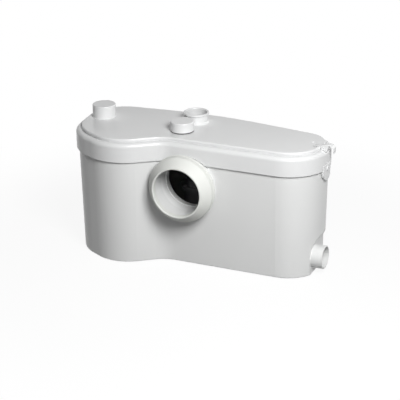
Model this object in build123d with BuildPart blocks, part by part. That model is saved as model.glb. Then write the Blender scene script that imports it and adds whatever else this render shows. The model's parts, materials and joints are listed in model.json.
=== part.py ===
from build123d import *
import math
import os

# Macerator toilet pump, standing on its feet.
# Millimetres, +Z up. The origin is on the floor, under the middle of the tank.
# +X runs to the side inlet, -Y to the toilet inlet.

# Fits, and how far a cut runs past the faces that it opens
overrun = 2.0
seat_gap = 0.1
slide_gap = 0.4
running_gap = 0.05

# Footprint of the lid's skirt: seven corners round the two lobes and the waist between them
skirt_length = 493.0
skirt_depth = 214.0
corner_place_shares = [
    (-0.517, 0.402),
    (-0.020, 0.509),
    (0.511, 0.308),
    (0.479, -0.304),
    (-0.097, -0.304),
    (-0.268, -0.589),
    (-0.485, -0.322),
]
corner_reach_shares = [0.5182, 0.4444, 0.4351, 0.5035, 0.1492, 0.4985, 0.4173]
corners = [(x * skirt_length, y * skirt_depth) for x, y in corner_place_shares]

# Tank: a drafted tub whose right foot is undercut round the side inlet
foot_rise = 2.0
tank_wall = 3.5
tank_edge_radius = 2.0
skirt_overhang = 4.7
draft_angle = 1.1
skirt_z = 204.8
rim_height = 27.2
step_x_share = 0.4584
step_shoulder_z = 56.0
step_run = 14.0
step_rise = 26.0
rim_z = skirt_z + rim_height
floor_z = foot_rise + tank_wall
step_reach = skirt_depth
step_x = step_x_share * skirt_length

# Rubber feet, sunk a little into the tank's underside
foot_radius = 9.0
foot_sink = 1.2
foot_place_shares = [(-0.3854, -0.1869), (-0.3854, 0.271), (0.3895, -0.1308), (0.3895, 0.2336)]
foot_places = [(x * skirt_length, y * skirt_depth) for x, y in foot_place_shares]

# Toilet inlet: a neck on the tank's waist with a rubber sleeve over it
inlet_x_share = -0.0077
inlet_z = 161.6
neck_inside = 32.0
neck_radius = 56.0
neck_bore = 51.5
neck_lip_bore = 48.5
neck_cone_inside = 3.0
neck_cone_length = 15.0
sleeve_stand_off = 12.0
sleeve_band_length = 13.6
sleeve_cone_length = 19.0
neck_overlap = 1.4
sleeve_radius = 62.8
sleeve_bead = 0.8
sleeve_bead_width = 4.0
sleeve_mouth_radius = 48.7
sleeve_bore = 45.4
sleeve_bore_length = 10.0
sleeve_lip_round = 1.2
inlet_x = inlet_x_share * skirt_length
front_wall = -corners[3][1]
sleeve_back = front_wall + sleeve_stand_off
sleeve_shoulder = sleeve_back + sleeve_band_length
sleeve_mouth = sleeve_shoulder + sleeve_cone_length
neck_front = sleeve_shoulder + neck_overlap
neck_back = front_wall - neck_inside
neck_cone_start = front_wall - neck_cone_inside
neck_cone_end = neck_cone_start - neck_cone_length

# Side inlet: a stub under the step, with a flap valve inside the tank
stub_y_share = -0.0093
stub_z = 33.0
stub_radius = 22.0
stub_wall = 2.6
stub_length = 22.0
stub_end_chamfer = 0.8
stub_y = stub_y_share * skirt_depth
stub_bore = stub_radius - stub_wall
side_seat_thickness = 4.0
side_seat_radius = 23.0
side_seat_root = 1.2
side_flap_radius = 21.5
side_flap_thickness = 3.0
side_pin_radius = 1.5
side_pin_length = 26.0
side_ear_thickness = 3.0
side_knuckle_radius = 3.2
side_knuckle_length = 16.0

# Lid: skirt, rounded bead, groove and raised plate
lid_wall = 3.0
bead_z = 241.0
bead_radius = 8.0
groove_inset = 8.8
groove_depth = 1.2
plate_inset = 10.6
plate_z = 247.2
plate_round = 3.0
gasket_height = 4.0
gasket_width = 5.0
gasket_inset = 3.6
plate_cavity_inset = 14.0
neck_arch_gap = 1.5
pip_place_shares = (0.43, 0.0897)
pip_radius = 2.3
pip_height = 0.9
pip_taper = 30.0
pip_place = (pip_place_shares[0] * skirt_length, pip_place_shares[1] * skirt_depth)
lid_ceiling_z = plate_z - lid_wall
gasket_z = rim_z

# Lid lugs: one at the right end, one on the back, each with a button that drops down a groove
lug_sides = [2, 0]
lug_along_shares = [0.465, 0.469]
lug_half_width = 14.0
lug_bottom_z = 184.0
lug_proud = 0.9
lug_root_z = 214.0
stud_radius = 3.0
stud_z = 206.0
stud_head_radius = 4.4
stud_head_height = 1.4
stud_head_taper = 20.0
stud_engagement = 2.2
stud_boss_width = 16.0
stud_boss_depth = 3.0
stud_boss_drop = 16.0

# Hook on the lid's right end
hook_width = 12.0
hook_thickness = 1.6
hook_foot_start = -26.0
hook_foot_end = -13.0
hook_rise = 6.4
hook_out = 17.0
hook_tip_drop = 11.0

# Discharge collar in the lid
discharge_x_share = -0.0592
discharge_y_share = 0.2103
collar_lip_radius = 23.8
collar_radius = 22.4
collar_bore = 20.0
collar_socket_depth = 20.0
collar_seal_bore = 19.0
collar_rise = 19.6
collar_lip_height = 4.5
collar_fillet = 3.0
collar_drop = 18.0
collar_stop_bore = 17.4
collar_stop_height = 3.0
collar_skirt_radius = 23.0
discharge_x = discharge_x_share * skirt_length
discharge_y = discharge_y_share * skirt_depth
seal_height = 8.0

# Vent at the lid's left end: boss, carbon filter and cap
vent_x_share = -0.417
vent_y_share = 0.0467
vent_boss_radius = 19.5
vent_boss_bore = 17.0
vent_boss_height = 15.0
vent_hole_radius = 2.4
vent_hole_circle = 9.0
vent_hole_count = 6
filter_height = 12.0
vent_cap_radius = 22.2
vent_cap_wall = 2.4
vent_cap_height = 24.6
vent_cap_round = 1.6
vent_cap_foot_radius = 23.0
vent_cap_foot_height = 2.4
vent_cap_foot_taper = 12.0
vent_x = vent_x_share * skirt_length
vent_y = vent_y_share * skirt_depth

# Access plug in the middle of the lid
plug_x_share = -0.0665
plug_y_share = -0.0589
plug_radius = 22.2
plug_height = 18.1
plug_gap = 2.0
plug_round = 2.0
plug_wall = 3.0
plug_hole_radius = 17.0
plug_collar_radius = 20.0
plug_stem_length = 12.0
plug_x = plug_x_share * skirt_length
plug_y = plug_y_share * skirt_depth
plug_ring_height = 2.0
plug_ring_depth = 1.0

# Pump and motor, on one upright axis in the left lobe
motor_x_share = -0.3043
pump_ear_angles = [-30.0, 210.0, 150.0]
pump_ear_circle = 72.0
pump_ear_radius = 8.0
pump_ear_height = 6.0
post_radius = 6.0
post_bore = 2.2
volute_bottom_z = 24.0
volute_top_z = 56.0
volute_wall = 3.0
volute_floor = 3.5
spiral_start = 40.0
spiral_step = 6.5
spiral_turns = 4
suction_radius = 20.0
pipe_radius = 16.0
pipe_bore = 13.0
bend_straight = 34.8
cover_thickness = 5.0
cover_radius = 57.0
screw_radius = 2.0
screw_head_radius = 3.8
screw_head_height = 2.6
outlet_z = volute_top_z - pipe_radius
motor_x = motor_x_share * skirt_length
motor_y = discharge_y + pipe_bore - spiral_start - spiral_turns * spiral_step
cover_z = volute_top_z + cover_thickness

# Cutting ring and blades under the pump's suction hole
cutting_ring_radius = 33.0
cutting_ring_wall = 3.0
cutting_ring_depth = 10.0
cutting_flange_radius = 42.0
cutting_flange_thickness = 3.0
cutting_slot_count = 14
cutting_slot_width = 4.5
cutting_slot_length = 7.0
blade_reach = 28.8
blade_root_width = 12.0
blade_tip_width = 7.0
blade_thickness = 3.5
blade_edge = 1.4
blade_count = 4
blade_hub_radius = 9.0
blade_z = 12.5
blade_hub_height = 8.0
nut_width = 14.0
nut_height = 4.0

# Impeller
impeller_radius = 36.0
impeller_eye = 12.0
impeller_disc = 4.0
impeller_vane_height = 16.0
impeller_vane_thickness = 2.6
impeller_vane_count = 6
impeller_vane_sweep = 62.0
vane_middle_share = 0.55
vane_swing_share = 0.28
impeller_top_gap = 5.0
impeller_top_z = volute_top_z - impeller_top_gap

# Shaft, seal and bearings
shaft_thread_radius = 4.0
shaft_pump_radius = 5.0
shaft_radius = 6.0
shaft_core_radius = 8.0
shaft_tip_chamfer = 0.8
seal_seat_radius = 14.0
seal_seat_bore = 7.5
seal_ring_radius = 11.0
seal_face_gap = 0.1
bearing_radius = 14.0
bearing_width = 8.0
bearing_inner_radius = 8.4

# Motor: base, housing, stator and rotor
base_height = 34.0
base_flange = 5.0
base_body_radius = 46.0
base_wall = 3.0
motor_flange_radius = 62.0
motor_flange_thickness = 4.0
motor_screw_circle = 58.0
motor_screw_count = 3
motor_screw_angle = 45.0
base_screw_circle = 51.6
base_screw_count = 3
base_floor = 6.0
bearing_hub_radius = 18.0
lower_bearing_rise = 9.0
housing_radius = 54.0
housing_wall = 2.5
housing_height = 109.0
housing_round = 14.0
housing_top = 3.0
housing_rib_count = 6
housing_rib_angle = 15.0
housing_rib_width = 2.4
housing_rib_proud = 1.6
upper_bearing_drop = 21.0
stator_bore = 30.3
stator_headroom = 42.0
stator_lift = 11.0
slot_count = 12
slot_width = 8.0
slot_depth = 12.0
slot_mouth = 2.0
winding_overhang = 9.0
air_gap = 0.5
rotor_end_ring = 4.0
rotor_end_wall = 9.0
motor_gland_radius = 8.0
motor_gland_height = 12.0
motor_gland_offset = 34.0
motor_gland_bore = 3.2
base_top_z = cover_z + base_height
housing_top_z = base_top_z + housing_height
stator_z = base_top_z + stator_lift
stator_height = housing_height - stator_lift - stator_headroom
lower_bearing_z = cover_z + lower_bearing_rise
upper_bearing_z = housing_top_z - upper_bearing_drop

# Discharge line: bend, non-return valve and riser
bend_radius = 28.0
outlet_length = discharge_x - motor_x - bend_radius - bend_straight
socket_wall = 3.3
socket_length = 12.0
clip_width = 8.0
clip_thickness = 1.2
clip_lug = 6.0
valve_socket = 12.0
valve_seat_thickness = 6.0
valve_chamber_bore = 22.0
valve_wall = 3.0
valve_chamber_height = 32.0
valve_flange_radius = 31.0
valve_flange_thickness = 4.0
valve_screw_circle = 28.0
valve_screw_count = 3
flap_radius = 17.5
flap_thickness = 2.8
flap_crown_taper = 30.0
flap_pin_offset = 17.0
flap_pin_radius = 1.5
flap_pin_length = 24.0
flap_pin_rise = 4.6
flap_knuckle_radius = 3.2
flap_knuckle_length = 15.0
flap_ear_thickness = 3.0
riser_radius = 16.5
riser_bore = 14.0
bend_top_z = outlet_z + bend_radius + valve_socket
valve_seat_z = bend_top_z + valve_seat_thickness
valve_top_z = valve_seat_z + valve_chamber_height
riser_foot_z = valve_top_z + valve_flange_thickness
riser_top_z = plate_z - collar_stop_height + seat_gap

# Level switch: pressure bell, diaphragm and plunger under the control box
control_x_share = 0.284
control_y_share = 0.0374
control_z = 136.0
control_length = 96.0
control_depth = 84.0
control_height = 84.0
control_wall = 2.5
control_floor = 6.0
control_corner = 8.0
control_cover_thickness = 4.0
control_post_radius = 5.0
shelf_width = 6.0
shelf_height = 10.0
shelf_inset = 12.0
bell_mouth_z = 14.0
bell_mouth_radius = 22.0
bell_shoulder_z = 60.0
bell_tube_z = 78.0
bell_tube_radius = 13.0
bell_wall = 2.0
bell_chamber_radius = 31.0
bell_chamber_height = 10.0
bell_chamber_bore = 21.0
bell_screw_circle = 27.0
bell_screw_count = 2
diaphragm_radius = 24.0
diaphragm_thickness = 1.6
diaphragm_taper = 20.0
diaphragm_recess = 3.4
plunger_foot_radius = 12.0
plunger_foot_height = 1.2
plunger_radius = 2.5
plunger_rise = 14.0

# Electrical pieces in the control box
capacitor_radius = 15.0
capacitor_length = 48.0
capacitor_offset = 29.8
capacitor_round = 1.5
capacitor_tab = 3.0
terminal_length = 28.0
terminal_width = 16.0
terminal_height = 16.0
terminal_count = 3
terminal_well_width = 6.0
terminal_well_depth = 6.0
terminal_x_offset = -30.0
terminal_y_offset = 20.0
switch_length = 28.0
switch_width = 10.0
switch_height = 16.0
switch_button_radius = 1.6
switch_button_drop = 2.6
switch_button_engagement = 0.9
switch_button_offset = -5.0
switch_lever_pivot = -13.0
switch_lever_reach = 13.0
switch_lever_thickness = 0.8
switch_lever_gap = 0.3
switch_lever_width = 6.0
switch_pin_radius = 0.5
switch_bracket_width = 10.0
switch_bracket_thickness = 3.0
control_x = control_x_share * skirt_length
control_y = control_y_share * skirt_depth
control_floor_z = control_z + control_floor
control_rim_z = control_z + control_height
plunger_foot_z = control_z
plunger_top_z = plunger_foot_z + plunger_foot_height + plunger_rise
switch_lever_z = plunger_top_z + switch_lever_gap
switch_body_z = switch_lever_z + switch_lever_thickness + switch_button_drop

# Cable gland in the tank's back wall
gland_side = 1
gland_along_share = 0.496
gland_z = 185.0
gland_hole_radius = 9.0
gland_flange_radius = 12.5
gland_flange_thickness = 3.0
gland_nut_width = 24.0
gland_nut_thickness = 6.0
gland_dome_length = 8.0
gland_dome_taper = 12.0
gland_bore = 3.8
gland_body_bore = 4.6
gland_seat_gap = 0.3

os.makedirs("parts", exist_ok=True)


def save(name, builder):
    """Label a finished piece, centre it over the origin and write it as its own node."""
    piece = builder.part.moved(Location((-middle_x, -middle_y, 0)))
    piece.label = name
    export_step(piece, "parts/" + name + ".step")


def corner_radius(index):
    """A corner's rounding, from the share of its shorter side that the rounding takes."""
    before, corner, after = (Vector(*corners[(index + step) % len(corners)]) for step in (-1, 0, 1))
    turn = math.radians((corner - before).get_angle(after - corner))
    shorter = min((corner - before).length, (after - corner).length)
    return corner_reach_shares[index] * shorter / math.tan(turn / 2)


def footprint(inset, height):
    """The lid skirt's footprint, drawn in by inset, at a height."""
    with BuildSketch(Plane.XY.offset(height)) as sketch:
        with BuildLine():
            FilletPolyline(*corners, radius=[corner_radius(i) for i in range(len(corners))], close=True)
        make_face()
        if inset:
            offset(amount=-inset)
    return sketch.sketch


def tank_inset(height):
    """How far the drafted tank wall stands inside the skirt's footprint at a height."""
    return skirt_overhang + (skirt_z - height) * math.tan(math.radians(draft_angle))


def wall_place(side, share):
    """A place on one straight side of the footprint: x, y and the way it faces."""
    (x0, y0), (x1, y1) = corners[side], corners[side + 1]
    facing = math.degrees(math.atan2(y1 - y0, x1 - x0)) + 90
    return x0 + share * (x1 - x0), y0 + share * (y1 - y0), facing


def step_profile():
    """Side view of the space under the tank's right end."""
    beyond = skirt_length
    with BuildSketch(Plane.XZ) as sketch:
        with BuildLine():
            Polyline(
                (step_x, -foot_rise),
                (step_x, step_shoulder_z),
                (step_x + step_run, step_shoulder_z + step_rise),
                (beyond, step_shoulder_z + step_rise),
                (beyond, -foot_rise),
                close=True,
            )
        make_face()
    return sketch.sketch


def upright(x, y, z):
    """A level plane at height z with its own centre."""
    return Plane(origin=(x, y, z))


def turned(points, x, y):
    """A solid of revolution about the upright line through x, y; points are (radius, z)."""
    with BuildPart() as piece:
        with BuildSketch(Plane(origin=(x, y, 0), x_dir=(1, 0, 0), z_dir=(0, -1, 0))):
            with BuildLine():
                Polyline(*points, close=True)
            make_face()
        revolve(axis=Axis((x, y, 0), (0, 0, 1)))
    return piece.part


def turned_forward(points):
    """A solid of revolution about the toilet inlet; points are (distance forward, radius)."""
    with BuildPart() as piece:
        with BuildSketch(Plane(origin=(inlet_x, 0, inlet_z), x_dir=(0, -1, 0), z_dir=(1, 0, 0))):
            with BuildLine():
                Polyline(*points, close=True)
            make_face()
        revolve(axis=Axis((inlet_x, 0, inlet_z), (0, -1, 0)))
    return piece.part


def around(radius, count, start=0):
    """Places spread evenly on a circle, each turned to face outwards."""
    return [
        Location((0, 0, 0), (0, 0, start + turn * 360 / count)) * Location((radius, 0, 0))
        for turn in range(count)
    ]


def screw(length):
    """A hex-head screw pointing down, with its head's underside at the origin."""
    with BuildPart(mode=Mode.PRIVATE) as piece:
        with BuildSketch():
            RegularPolygon(screw_head_radius, 6)
        extrude(amount=screw_head_height)
        with BuildSketch():
            Circle(screw_radius)
        extrude(amount=-length)
    return piece.part


def wall_plane(place):
    """An upright plane at a place on the wall: x along the wall, y up, z out of the wall."""
    x, y, angle = place
    outward = Vector(1, 0, 0).rotate(Axis.Z, angle)
    along = Vector(0, 1, 0).rotate(Axis.Z, angle)
    return Plane(origin=(x, y, 0), x_dir=along, z_dir=outward)


def spiral_outline(grow):
    """Pump casing outline: four quarter turns, each wider than the last, then the way out."""
    centres = [(0, 0), (-spiral_step, 0), (-spiral_step, spiral_step), (0, spiral_step)]
    with BuildSketch() as sketch:
        with BuildLine():
            for quarter, centre in enumerate(centres):
                radius = spiral_start + quarter * spiral_step + grow
                CenterArc(centre, radius, 90 - 90 * quarter, -90)
            Line((0, spiral_start + spiral_turns * spiral_step + grow), (0, spiral_start + grow))
        make_face()
    return sketch.sketch


lug_places = [wall_place(side, share) for side, share in zip(lug_sides, lug_along_shares)]
gland_place = wall_place(gland_side, gland_along_share)
outline_box = footprint(0, 0).bounding_box()
hook_tip_x = lug_places[0][0] + hook_out + hook_thickness / 2
middle_x = (outline_box.min.X + hook_tip_x) / 2
middle_y = outline_box.center().Y

# The inside of the tank, up to and past its rim
with BuildPart() as tank_cavity:
    extrude(
        footprint(tank_inset(floor_z) + tank_wall, floor_z),
        amount=rim_z - floor_z + overrun,
        taper=-draft_angle,
    )
    with BuildSketch(Plane.XZ):
        add(step_profile())
        offset(amount=tank_wall, kind=Kind.INTERSECTION)
    extrude(amount=step_reach, both=True, mode=Mode.SUBTRACT)

# Ribs, posts and bosses that stand inside the tank, trimmed by the walls
with BuildPart() as tank_fittings:
    for side in (-1, 1):
        shelf_x = control_x + side * (control_length / 2 - shelf_inset)
        with BuildSketch(Plane.XY.offset(control_z)):
            with Locations((shelf_x, 0)):
                Rectangle(shelf_width, skirt_depth * 2)
        extrude(amount=-shelf_height)
    with BuildSketch(Plane.XY.offset(floor_z)):
        with Locations((motor_x, motor_y)):
            for angle in pump_ear_angles:
                with Locations(*around(pump_ear_circle, 1, start=angle)):
                    Circle(post_radius)
    extrude(amount=volute_top_z - pump_ear_height - floor_z)
    for place in lug_places:
        with BuildSketch(wall_plane(place).offset(-tank_inset(rim_z) - tank_wall + overrun)):
            with Locations((0, (rim_z + stud_z - stud_boss_drop) / 2)):
                Rectangle(stud_boss_width, rim_z - stud_z + stud_boss_drop)
        extrude(amount=-stud_boss_depth - overrun)
    add(tank_cavity.part, mode=Mode.INTERSECT)

with BuildPart() as tank:
    extrude(
        footprint(tank_inset(foot_rise), foot_rise),
        amount=rim_z - foot_rise,
        taper=-draft_angle,
    )
    fillet(tank.edges().group_by(Axis.Z)[0], radius=tank_edge_radius)
    with BuildSketch(Plane.XZ):
        add(step_profile())
    extrude(amount=step_reach, both=True, mode=Mode.SUBTRACT)
    add(tank_cavity.part, mode=Mode.SUBTRACT)
    add(tank_fittings.part)
    # Toilet neck: it runs back through the wall as a collar
    add(
        turned_forward(
            [(neck_back, 0), (neck_back, neck_radius), (neck_front, neck_radius), (neck_front, 0)]
        )
    )
    add(
        turned_forward(
            [
                (neck_back - overrun, 0),
                (neck_back - overrun, neck_lip_bore),
                (neck_cone_end, neck_lip_bore),
                (neck_cone_start, neck_bore),
                (neck_front + overrun, neck_bore),
                (neck_front + overrun, 0),
            ]
        ),
        mode=Mode.SUBTRACT,
    )
    # Side inlet stub
    with BuildSketch(Plane.YZ.offset(step_x - tank_wall)):
        with Locations((stub_y, stub_z)):
            Circle(stub_radius)
    extrude(amount=tank_wall + stub_length)
    chamfer(tank.edges().filter_by(GeomType.CIRCLE).sort_by(Axis.X)[-1], length=stub_end_chamfer)
    with BuildSketch(Plane.YZ.offset(step_x - tank_wall - overrun)):
        with Locations((stub_y, stub_z)):
            Circle(stub_bore)
    extrude(amount=tank_wall + stub_length + overrun * 2, mode=Mode.SUBTRACT)
    # Screw holes in the pump's posts
    with BuildSketch(Plane.XY.offset(volute_top_z)):
        with Locations((motor_x, motor_y)):
            for angle in pump_ear_angles:
                with Locations(*around(pump_ear_circle, 1, start=angle)):
                    Circle(post_bore)
    extrude(amount=-(volute_top_z - floor_z) + overrun, mode=Mode.SUBTRACT)
    # Grooves that the lid's buttons drop down
    for place in lug_places:
        with BuildSketch(wall_plane(place).offset(-tank_inset(stud_z) - stud_engagement - slide_gap)):
            with Locations((0, stud_z)):
                Circle(stud_radius + slide_gap)
            with Locations((0, (rim_z + overrun + stud_z) / 2)):
                Rectangle((stud_radius + slide_gap) * 2, rim_z + overrun - stud_z)
        extrude(amount=tank_inset(stud_z) + overrun, mode=Mode.SUBTRACT)
    # Cable gland hole and foot pockets
    with BuildSketch(wall_plane(gland_place)):
        with Locations((0, gland_z)):
            Circle(gland_hole_radius + seat_gap)
    extrude(amount=-tank_inset(gland_z) - tank_wall - overrun, mode=Mode.SUBTRACT)
    with BuildSketch(Plane.XY.offset(foot_rise)):
        with Locations(*foot_places):
            Circle(foot_radius + seat_gap)
    extrude(amount=foot_sink, mode=Mode.SUBTRACT)
save("tank", tank)

with BuildPart() as rubber_feet:
    with BuildSketch():
        with Locations(*foot_places):
            Circle(foot_radius)
    extrude(amount=foot_rise + foot_sink)
save("rubber_feet", rubber_feet)

# Sleeve over the neck: band, cone and thin mouth lip
sleeve_face = sleeve_mouth - sleeve_lip_round
with BuildPart() as inlet_sleeve:
    add(
        turned_forward(
            [
                (sleeve_back, neck_radius + seat_gap),
                (sleeve_back, sleeve_radius + sleeve_bead),
                (sleeve_back + sleeve_bead_width, sleeve_radius + sleeve_bead),
                (sleeve_back + sleeve_bead_width, sleeve_radius),
                (sleeve_shoulder, sleeve_radius),
                (sleeve_face, sleeve_mouth_radius + sleeve_lip_round),
                (sleeve_mouth, sleeve_mouth_radius),
                (sleeve_mouth, sleeve_bore + sleeve_lip_round),
                (sleeve_face, sleeve_bore),
                (sleeve_face - sleeve_bore_length, sleeve_bore),
                (neck_front, neck_bore),
                (neck_front, neck_radius + seat_gap),
            ]
        )
    )
save("inlet_sleeve", inlet_sleeve)

# Lug tongues, cut out of a band just outside and inside the skirt
with BuildPart() as lug_tongues:
    for place in lug_places:
        with BuildSketch(wall_plane(place).offset(-stud_head_radius * 2)):
            with Locations((0, lug_bottom_z + lug_half_width)):
                Circle(lug_half_width)
            with Locations((0, (lug_root_z + lug_bottom_z + lug_half_width) / 2)):
                Rectangle(lug_half_width * 2, lug_root_z - lug_bottom_z - lug_half_width)
        extrude(amount=stud_head_radius * 4)

with BuildPart() as lugs:
    extrude(footprint(-lug_proud, lug_bottom_z - overrun), amount=lug_root_z - lug_bottom_z + overrun)
    extrude(
        footprint(lid_wall, lug_bottom_z - overrun * 2),
        amount=lug_root_z - lug_bottom_z + overrun * 4,
        mode=Mode.SUBTRACT,
    )
    add(lug_tongues.part, mode=Mode.INTERSECT)

with BuildPart() as lid:
    extrude(footprint(0, skirt_z), amount=bead_z - skirt_z)
    fillet(lid.edges().group_by(Axis.Z)[-1], radius=bead_radius)
    # Groove between the bead and the plate
    groove_z = bead_z - groove_depth
    extrude(footprint(groove_inset, groove_z), amount=groove_depth + overrun, mode=Mode.SUBTRACT)
    extrude(footprint(plate_inset, groove_z), amount=plate_z - groove_z)
    fillet(lid.edges().group_by(Axis.Z)[-1], radius=plate_round)
    # Hollow underside: the rim's seat first, then the plate's
    extrude(
        footprint(lid_wall, skirt_z - overrun),
        amount=gasket_z + gasket_height - skirt_z + overrun,
        mode=Mode.SUBTRACT,
    )
    extrude(
        footprint(plate_cavity_inset, skirt_z),
        amount=lid_ceiling_z - skirt_z,
        mode=Mode.SUBTRACT,
    )
    # Arch over the toilet neck
    arch_radius = neck_radius + neck_arch_gap
    add(
        turned_forward(
            [(neck_back, 0), (neck_back, arch_radius), (sleeve_mouth, arch_radius), (sleeve_mouth, 0)]
        ),
        mode=Mode.SUBTRACT,
    )
    add(lugs.part)
    # Holes for the lid's buttons
    for place in lug_places:
        with BuildSketch(wall_plane(place).offset(-stud_head_radius * 2)):
            with Locations((0, stud_z)):
                Circle(stud_radius + seat_gap)
        extrude(amount=stud_head_radius * 4, mode=Mode.SUBTRACT)
    # Discharge collar, above and below the plate
    collar_top_z = plate_z + collar_rise
    add(
        turned(
            [
                (0, lid_ceiling_z - collar_drop),
                (collar_skirt_radius, lid_ceiling_z - collar_drop),
                (collar_skirt_radius, plate_z),
                (collar_radius + collar_fillet, plate_z),
                (collar_radius, plate_z + collar_fillet),
                (collar_radius, collar_top_z - collar_lip_height),
                (collar_lip_radius, collar_top_z - collar_lip_height / 3),
                (collar_lip_radius, collar_top_z - collar_lip_height / 6),
                (collar_lip_radius - collar_lip_height / 6, collar_top_z),
                (0, collar_top_z),
            ],
            discharge_x,
            discharge_y,
        )
    )
    collar_foot_z = lid_ceiling_z - collar_drop
    add(
        turned(
            [
                (0, collar_foot_z - overrun),
                (collar_stop_bore, collar_foot_z - overrun),
                (collar_stop_bore, collar_foot_z + collar_stop_height),
                (collar_seal_bore, collar_foot_z + collar_stop_height),
                (collar_seal_bore, collar_top_z - collar_lip_height / 3 - collar_socket_depth),
                (collar_bore, collar_top_z - collar_lip_height / 3 - collar_socket_depth),
                (collar_bore, collar_top_z - collar_lip_height / 3),
                (collar_bore + collar_lip_height / 3, collar_top_z + seat_gap),
                (0, collar_top_z + seat_gap),
            ],
            discharge_x,
            discharge_y,
        ),
        mode=Mode.SUBTRACT,
    )
    # Vent boss with its ring of holes
    with BuildSketch(upright(vent_x, vent_y, plate_z)):
        Circle(vent_boss_radius)
        Circle(vent_boss_bore, mode=Mode.SUBTRACT)
    extrude(amount=vent_boss_height)
    with BuildSketch(upright(vent_x, vent_y, plate_z + overrun)):
        with Locations(*around(vent_hole_circle, vent_hole_count)):
            Circle(vent_hole_radius)
    extrude(amount=-lid_wall - overrun * 2, mode=Mode.SUBTRACT)
    # Access hole with a low collar that carries the plug
    with BuildSketch(upright(plug_x, plug_y, plate_z)):
        Circle(plug_collar_radius)
    extrude(amount=plug_gap)
    with BuildSketch(upright(plug_x, plug_y, plate_z + plug_gap + overrun)):
        Circle(plug_hole_radius)
    extrude(amount=-plug_gap - lid_wall - overrun * 2, mode=Mode.SUBTRACT)
    # Moulded pip on the plate
    with BuildSketch(upright(pip_place[0], pip_place[1], plate_z)):
        Circle(pip_radius)
    extrude(amount=pip_height, taper=pip_taper)
save("lid", lid)

with BuildPart() as lid_gasket:
    extrude(footprint(gasket_inset, gasket_z), amount=gasket_height)
    extrude(footprint(gasket_inset + gasket_width, gasket_z), amount=gasket_height, mode=Mode.SUBTRACT)
save("lid_gasket", lid_gasket)

with BuildPart() as lid_studs:
    for place in lug_places:
        with BuildSketch(wall_plane(place).offset(lug_proud)):
            with Locations((0, stud_z)):
                Circle(stud_head_radius)
        extrude(amount=stud_head_height, taper=stud_head_taper)
        with BuildSketch(wall_plane(place).offset(lug_proud)):
            with Locations((0, stud_z)):
                Circle(stud_radius)
        extrude(amount=-lug_proud - tank_inset(stud_z) - stud_engagement)
save("lid_studs", lid_studs)

# Hook: a strap with a flat foot on the plate that arches over the bead and curls down outside
with BuildPart() as cable_hook:
    strap_z = plate_z + hook_thickness / 2
    hook_top_z = strap_z + hook_rise
    with BuildSketch(
        Plane(origin=(lug_places[0][0], lug_places[0][1], 0), x_dir=(1, 0, 0), z_dir=(0, -1, 0))
    ):
        with BuildLine():
            foot = Line((hook_foot_start, strap_z), (hook_foot_end, strap_z))
            rise = TangentArc(foot @ 1, (hook_foot_end / 2, strap_z + hook_rise / 3), tangent=foot % 1)
            over = ThreePointArc(
                rise @ 1, (hook_out / 3, hook_top_z), (hook_out, strap_z)
            )
            Line(over @ 1, (hook_out, strap_z - hook_tip_drop))
        trace(line_width=hook_thickness)
    extrude(amount=hook_width / 2, both=True)
save("cable_hook", cable_hook)

with BuildPart() as discharge_seal:
    seal_z = collar_foot_z + collar_stop_height
    add(
        turned(
            [
                (riser_radius + slide_gap, seal_z),
                (collar_seal_bore - seat_gap, seal_z),
                (collar_seal_bore - seat_gap, seal_z + seal_height),
                ((riser_radius + collar_seal_bore) / 2, seal_z + seal_height),
                (riser_radius + slide_gap, seal_z + seal_height / 2),
            ],
            discharge_x,
            discharge_y,
        )
    )
save("discharge_seal", discharge_seal)

with BuildPart() as vent_filter:
    with BuildSketch(upright(vent_x, vent_y, plate_z)):
        Circle(vent_boss_bore - seat_gap)
    extrude(amount=filter_height)
save("vent_filter", vent_filter)

with BuildPart() as vent_cap:
    with BuildSketch(upright(vent_x, vent_y, plate_z)):
        Circle(vent_cap_radius)
    extrude(amount=vent_cap_height)
    fillet(vent_cap.edges().group_by(Axis.Z)[-1], radius=vent_cap_round)
    with BuildSketch(upright(vent_x, vent_y, plate_z)):
        Circle(vent_cap_foot_radius)
    extrude(amount=vent_cap_foot_height, taper=vent_cap_foot_taper)
    with BuildSketch(upright(vent_x, vent_y, plate_z)):
        Circle(vent_boss_radius + slide_gap)
    extrude(amount=vent_cap_height - vent_cap_wall, mode=Mode.SUBTRACT)
save("vent_cap", vent_cap)

with BuildPart() as access_plug:
    head_z = plate_z + plug_gap
    stem_radius = plug_hole_radius - slide_gap
    plug_ring_z = plate_z - lid_wall
    plug_ring_bore = stem_radius - plug_ring_depth
    with BuildSketch(upright(plug_x, plug_y, head_z)):
        Circle(plug_radius)
    extrude(amount=plug_height)
    fillet(access_plug.edges().group_by(Axis.Z)[-1], radius=plug_round)
    with BuildSketch(upright(plug_x, plug_y, head_z)):
        Circle(stem_radius)
    extrude(amount=-plug_stem_length)
    with BuildSketch(upright(plug_x, plug_y, head_z - plug_stem_length)):
        Circle(stem_radius - plug_wall)
    extrude(amount=plug_stem_length + plug_height - plug_wall, mode=Mode.SUBTRACT)
    with BuildSketch(upright(plug_x, plug_y, plug_ring_z)):
        Circle(plug_radius)
        Circle(plug_ring_bore, mode=Mode.SUBTRACT)
    extrude(amount=plug_ring_height, mode=Mode.SUBTRACT)
save("access_plug", access_plug)

with BuildPart() as access_plug_ring:
    with BuildSketch(upright(plug_x, plug_y, plug_ring_z + seat_gap)):
        Circle(plug_hole_radius - seat_gap)
        Circle(plug_ring_bore + seat_gap, mode=Mode.SUBTRACT)
    extrude(amount=plug_ring_height - seat_gap * 2)
save("access_plug_ring", access_plug_ring)

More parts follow.
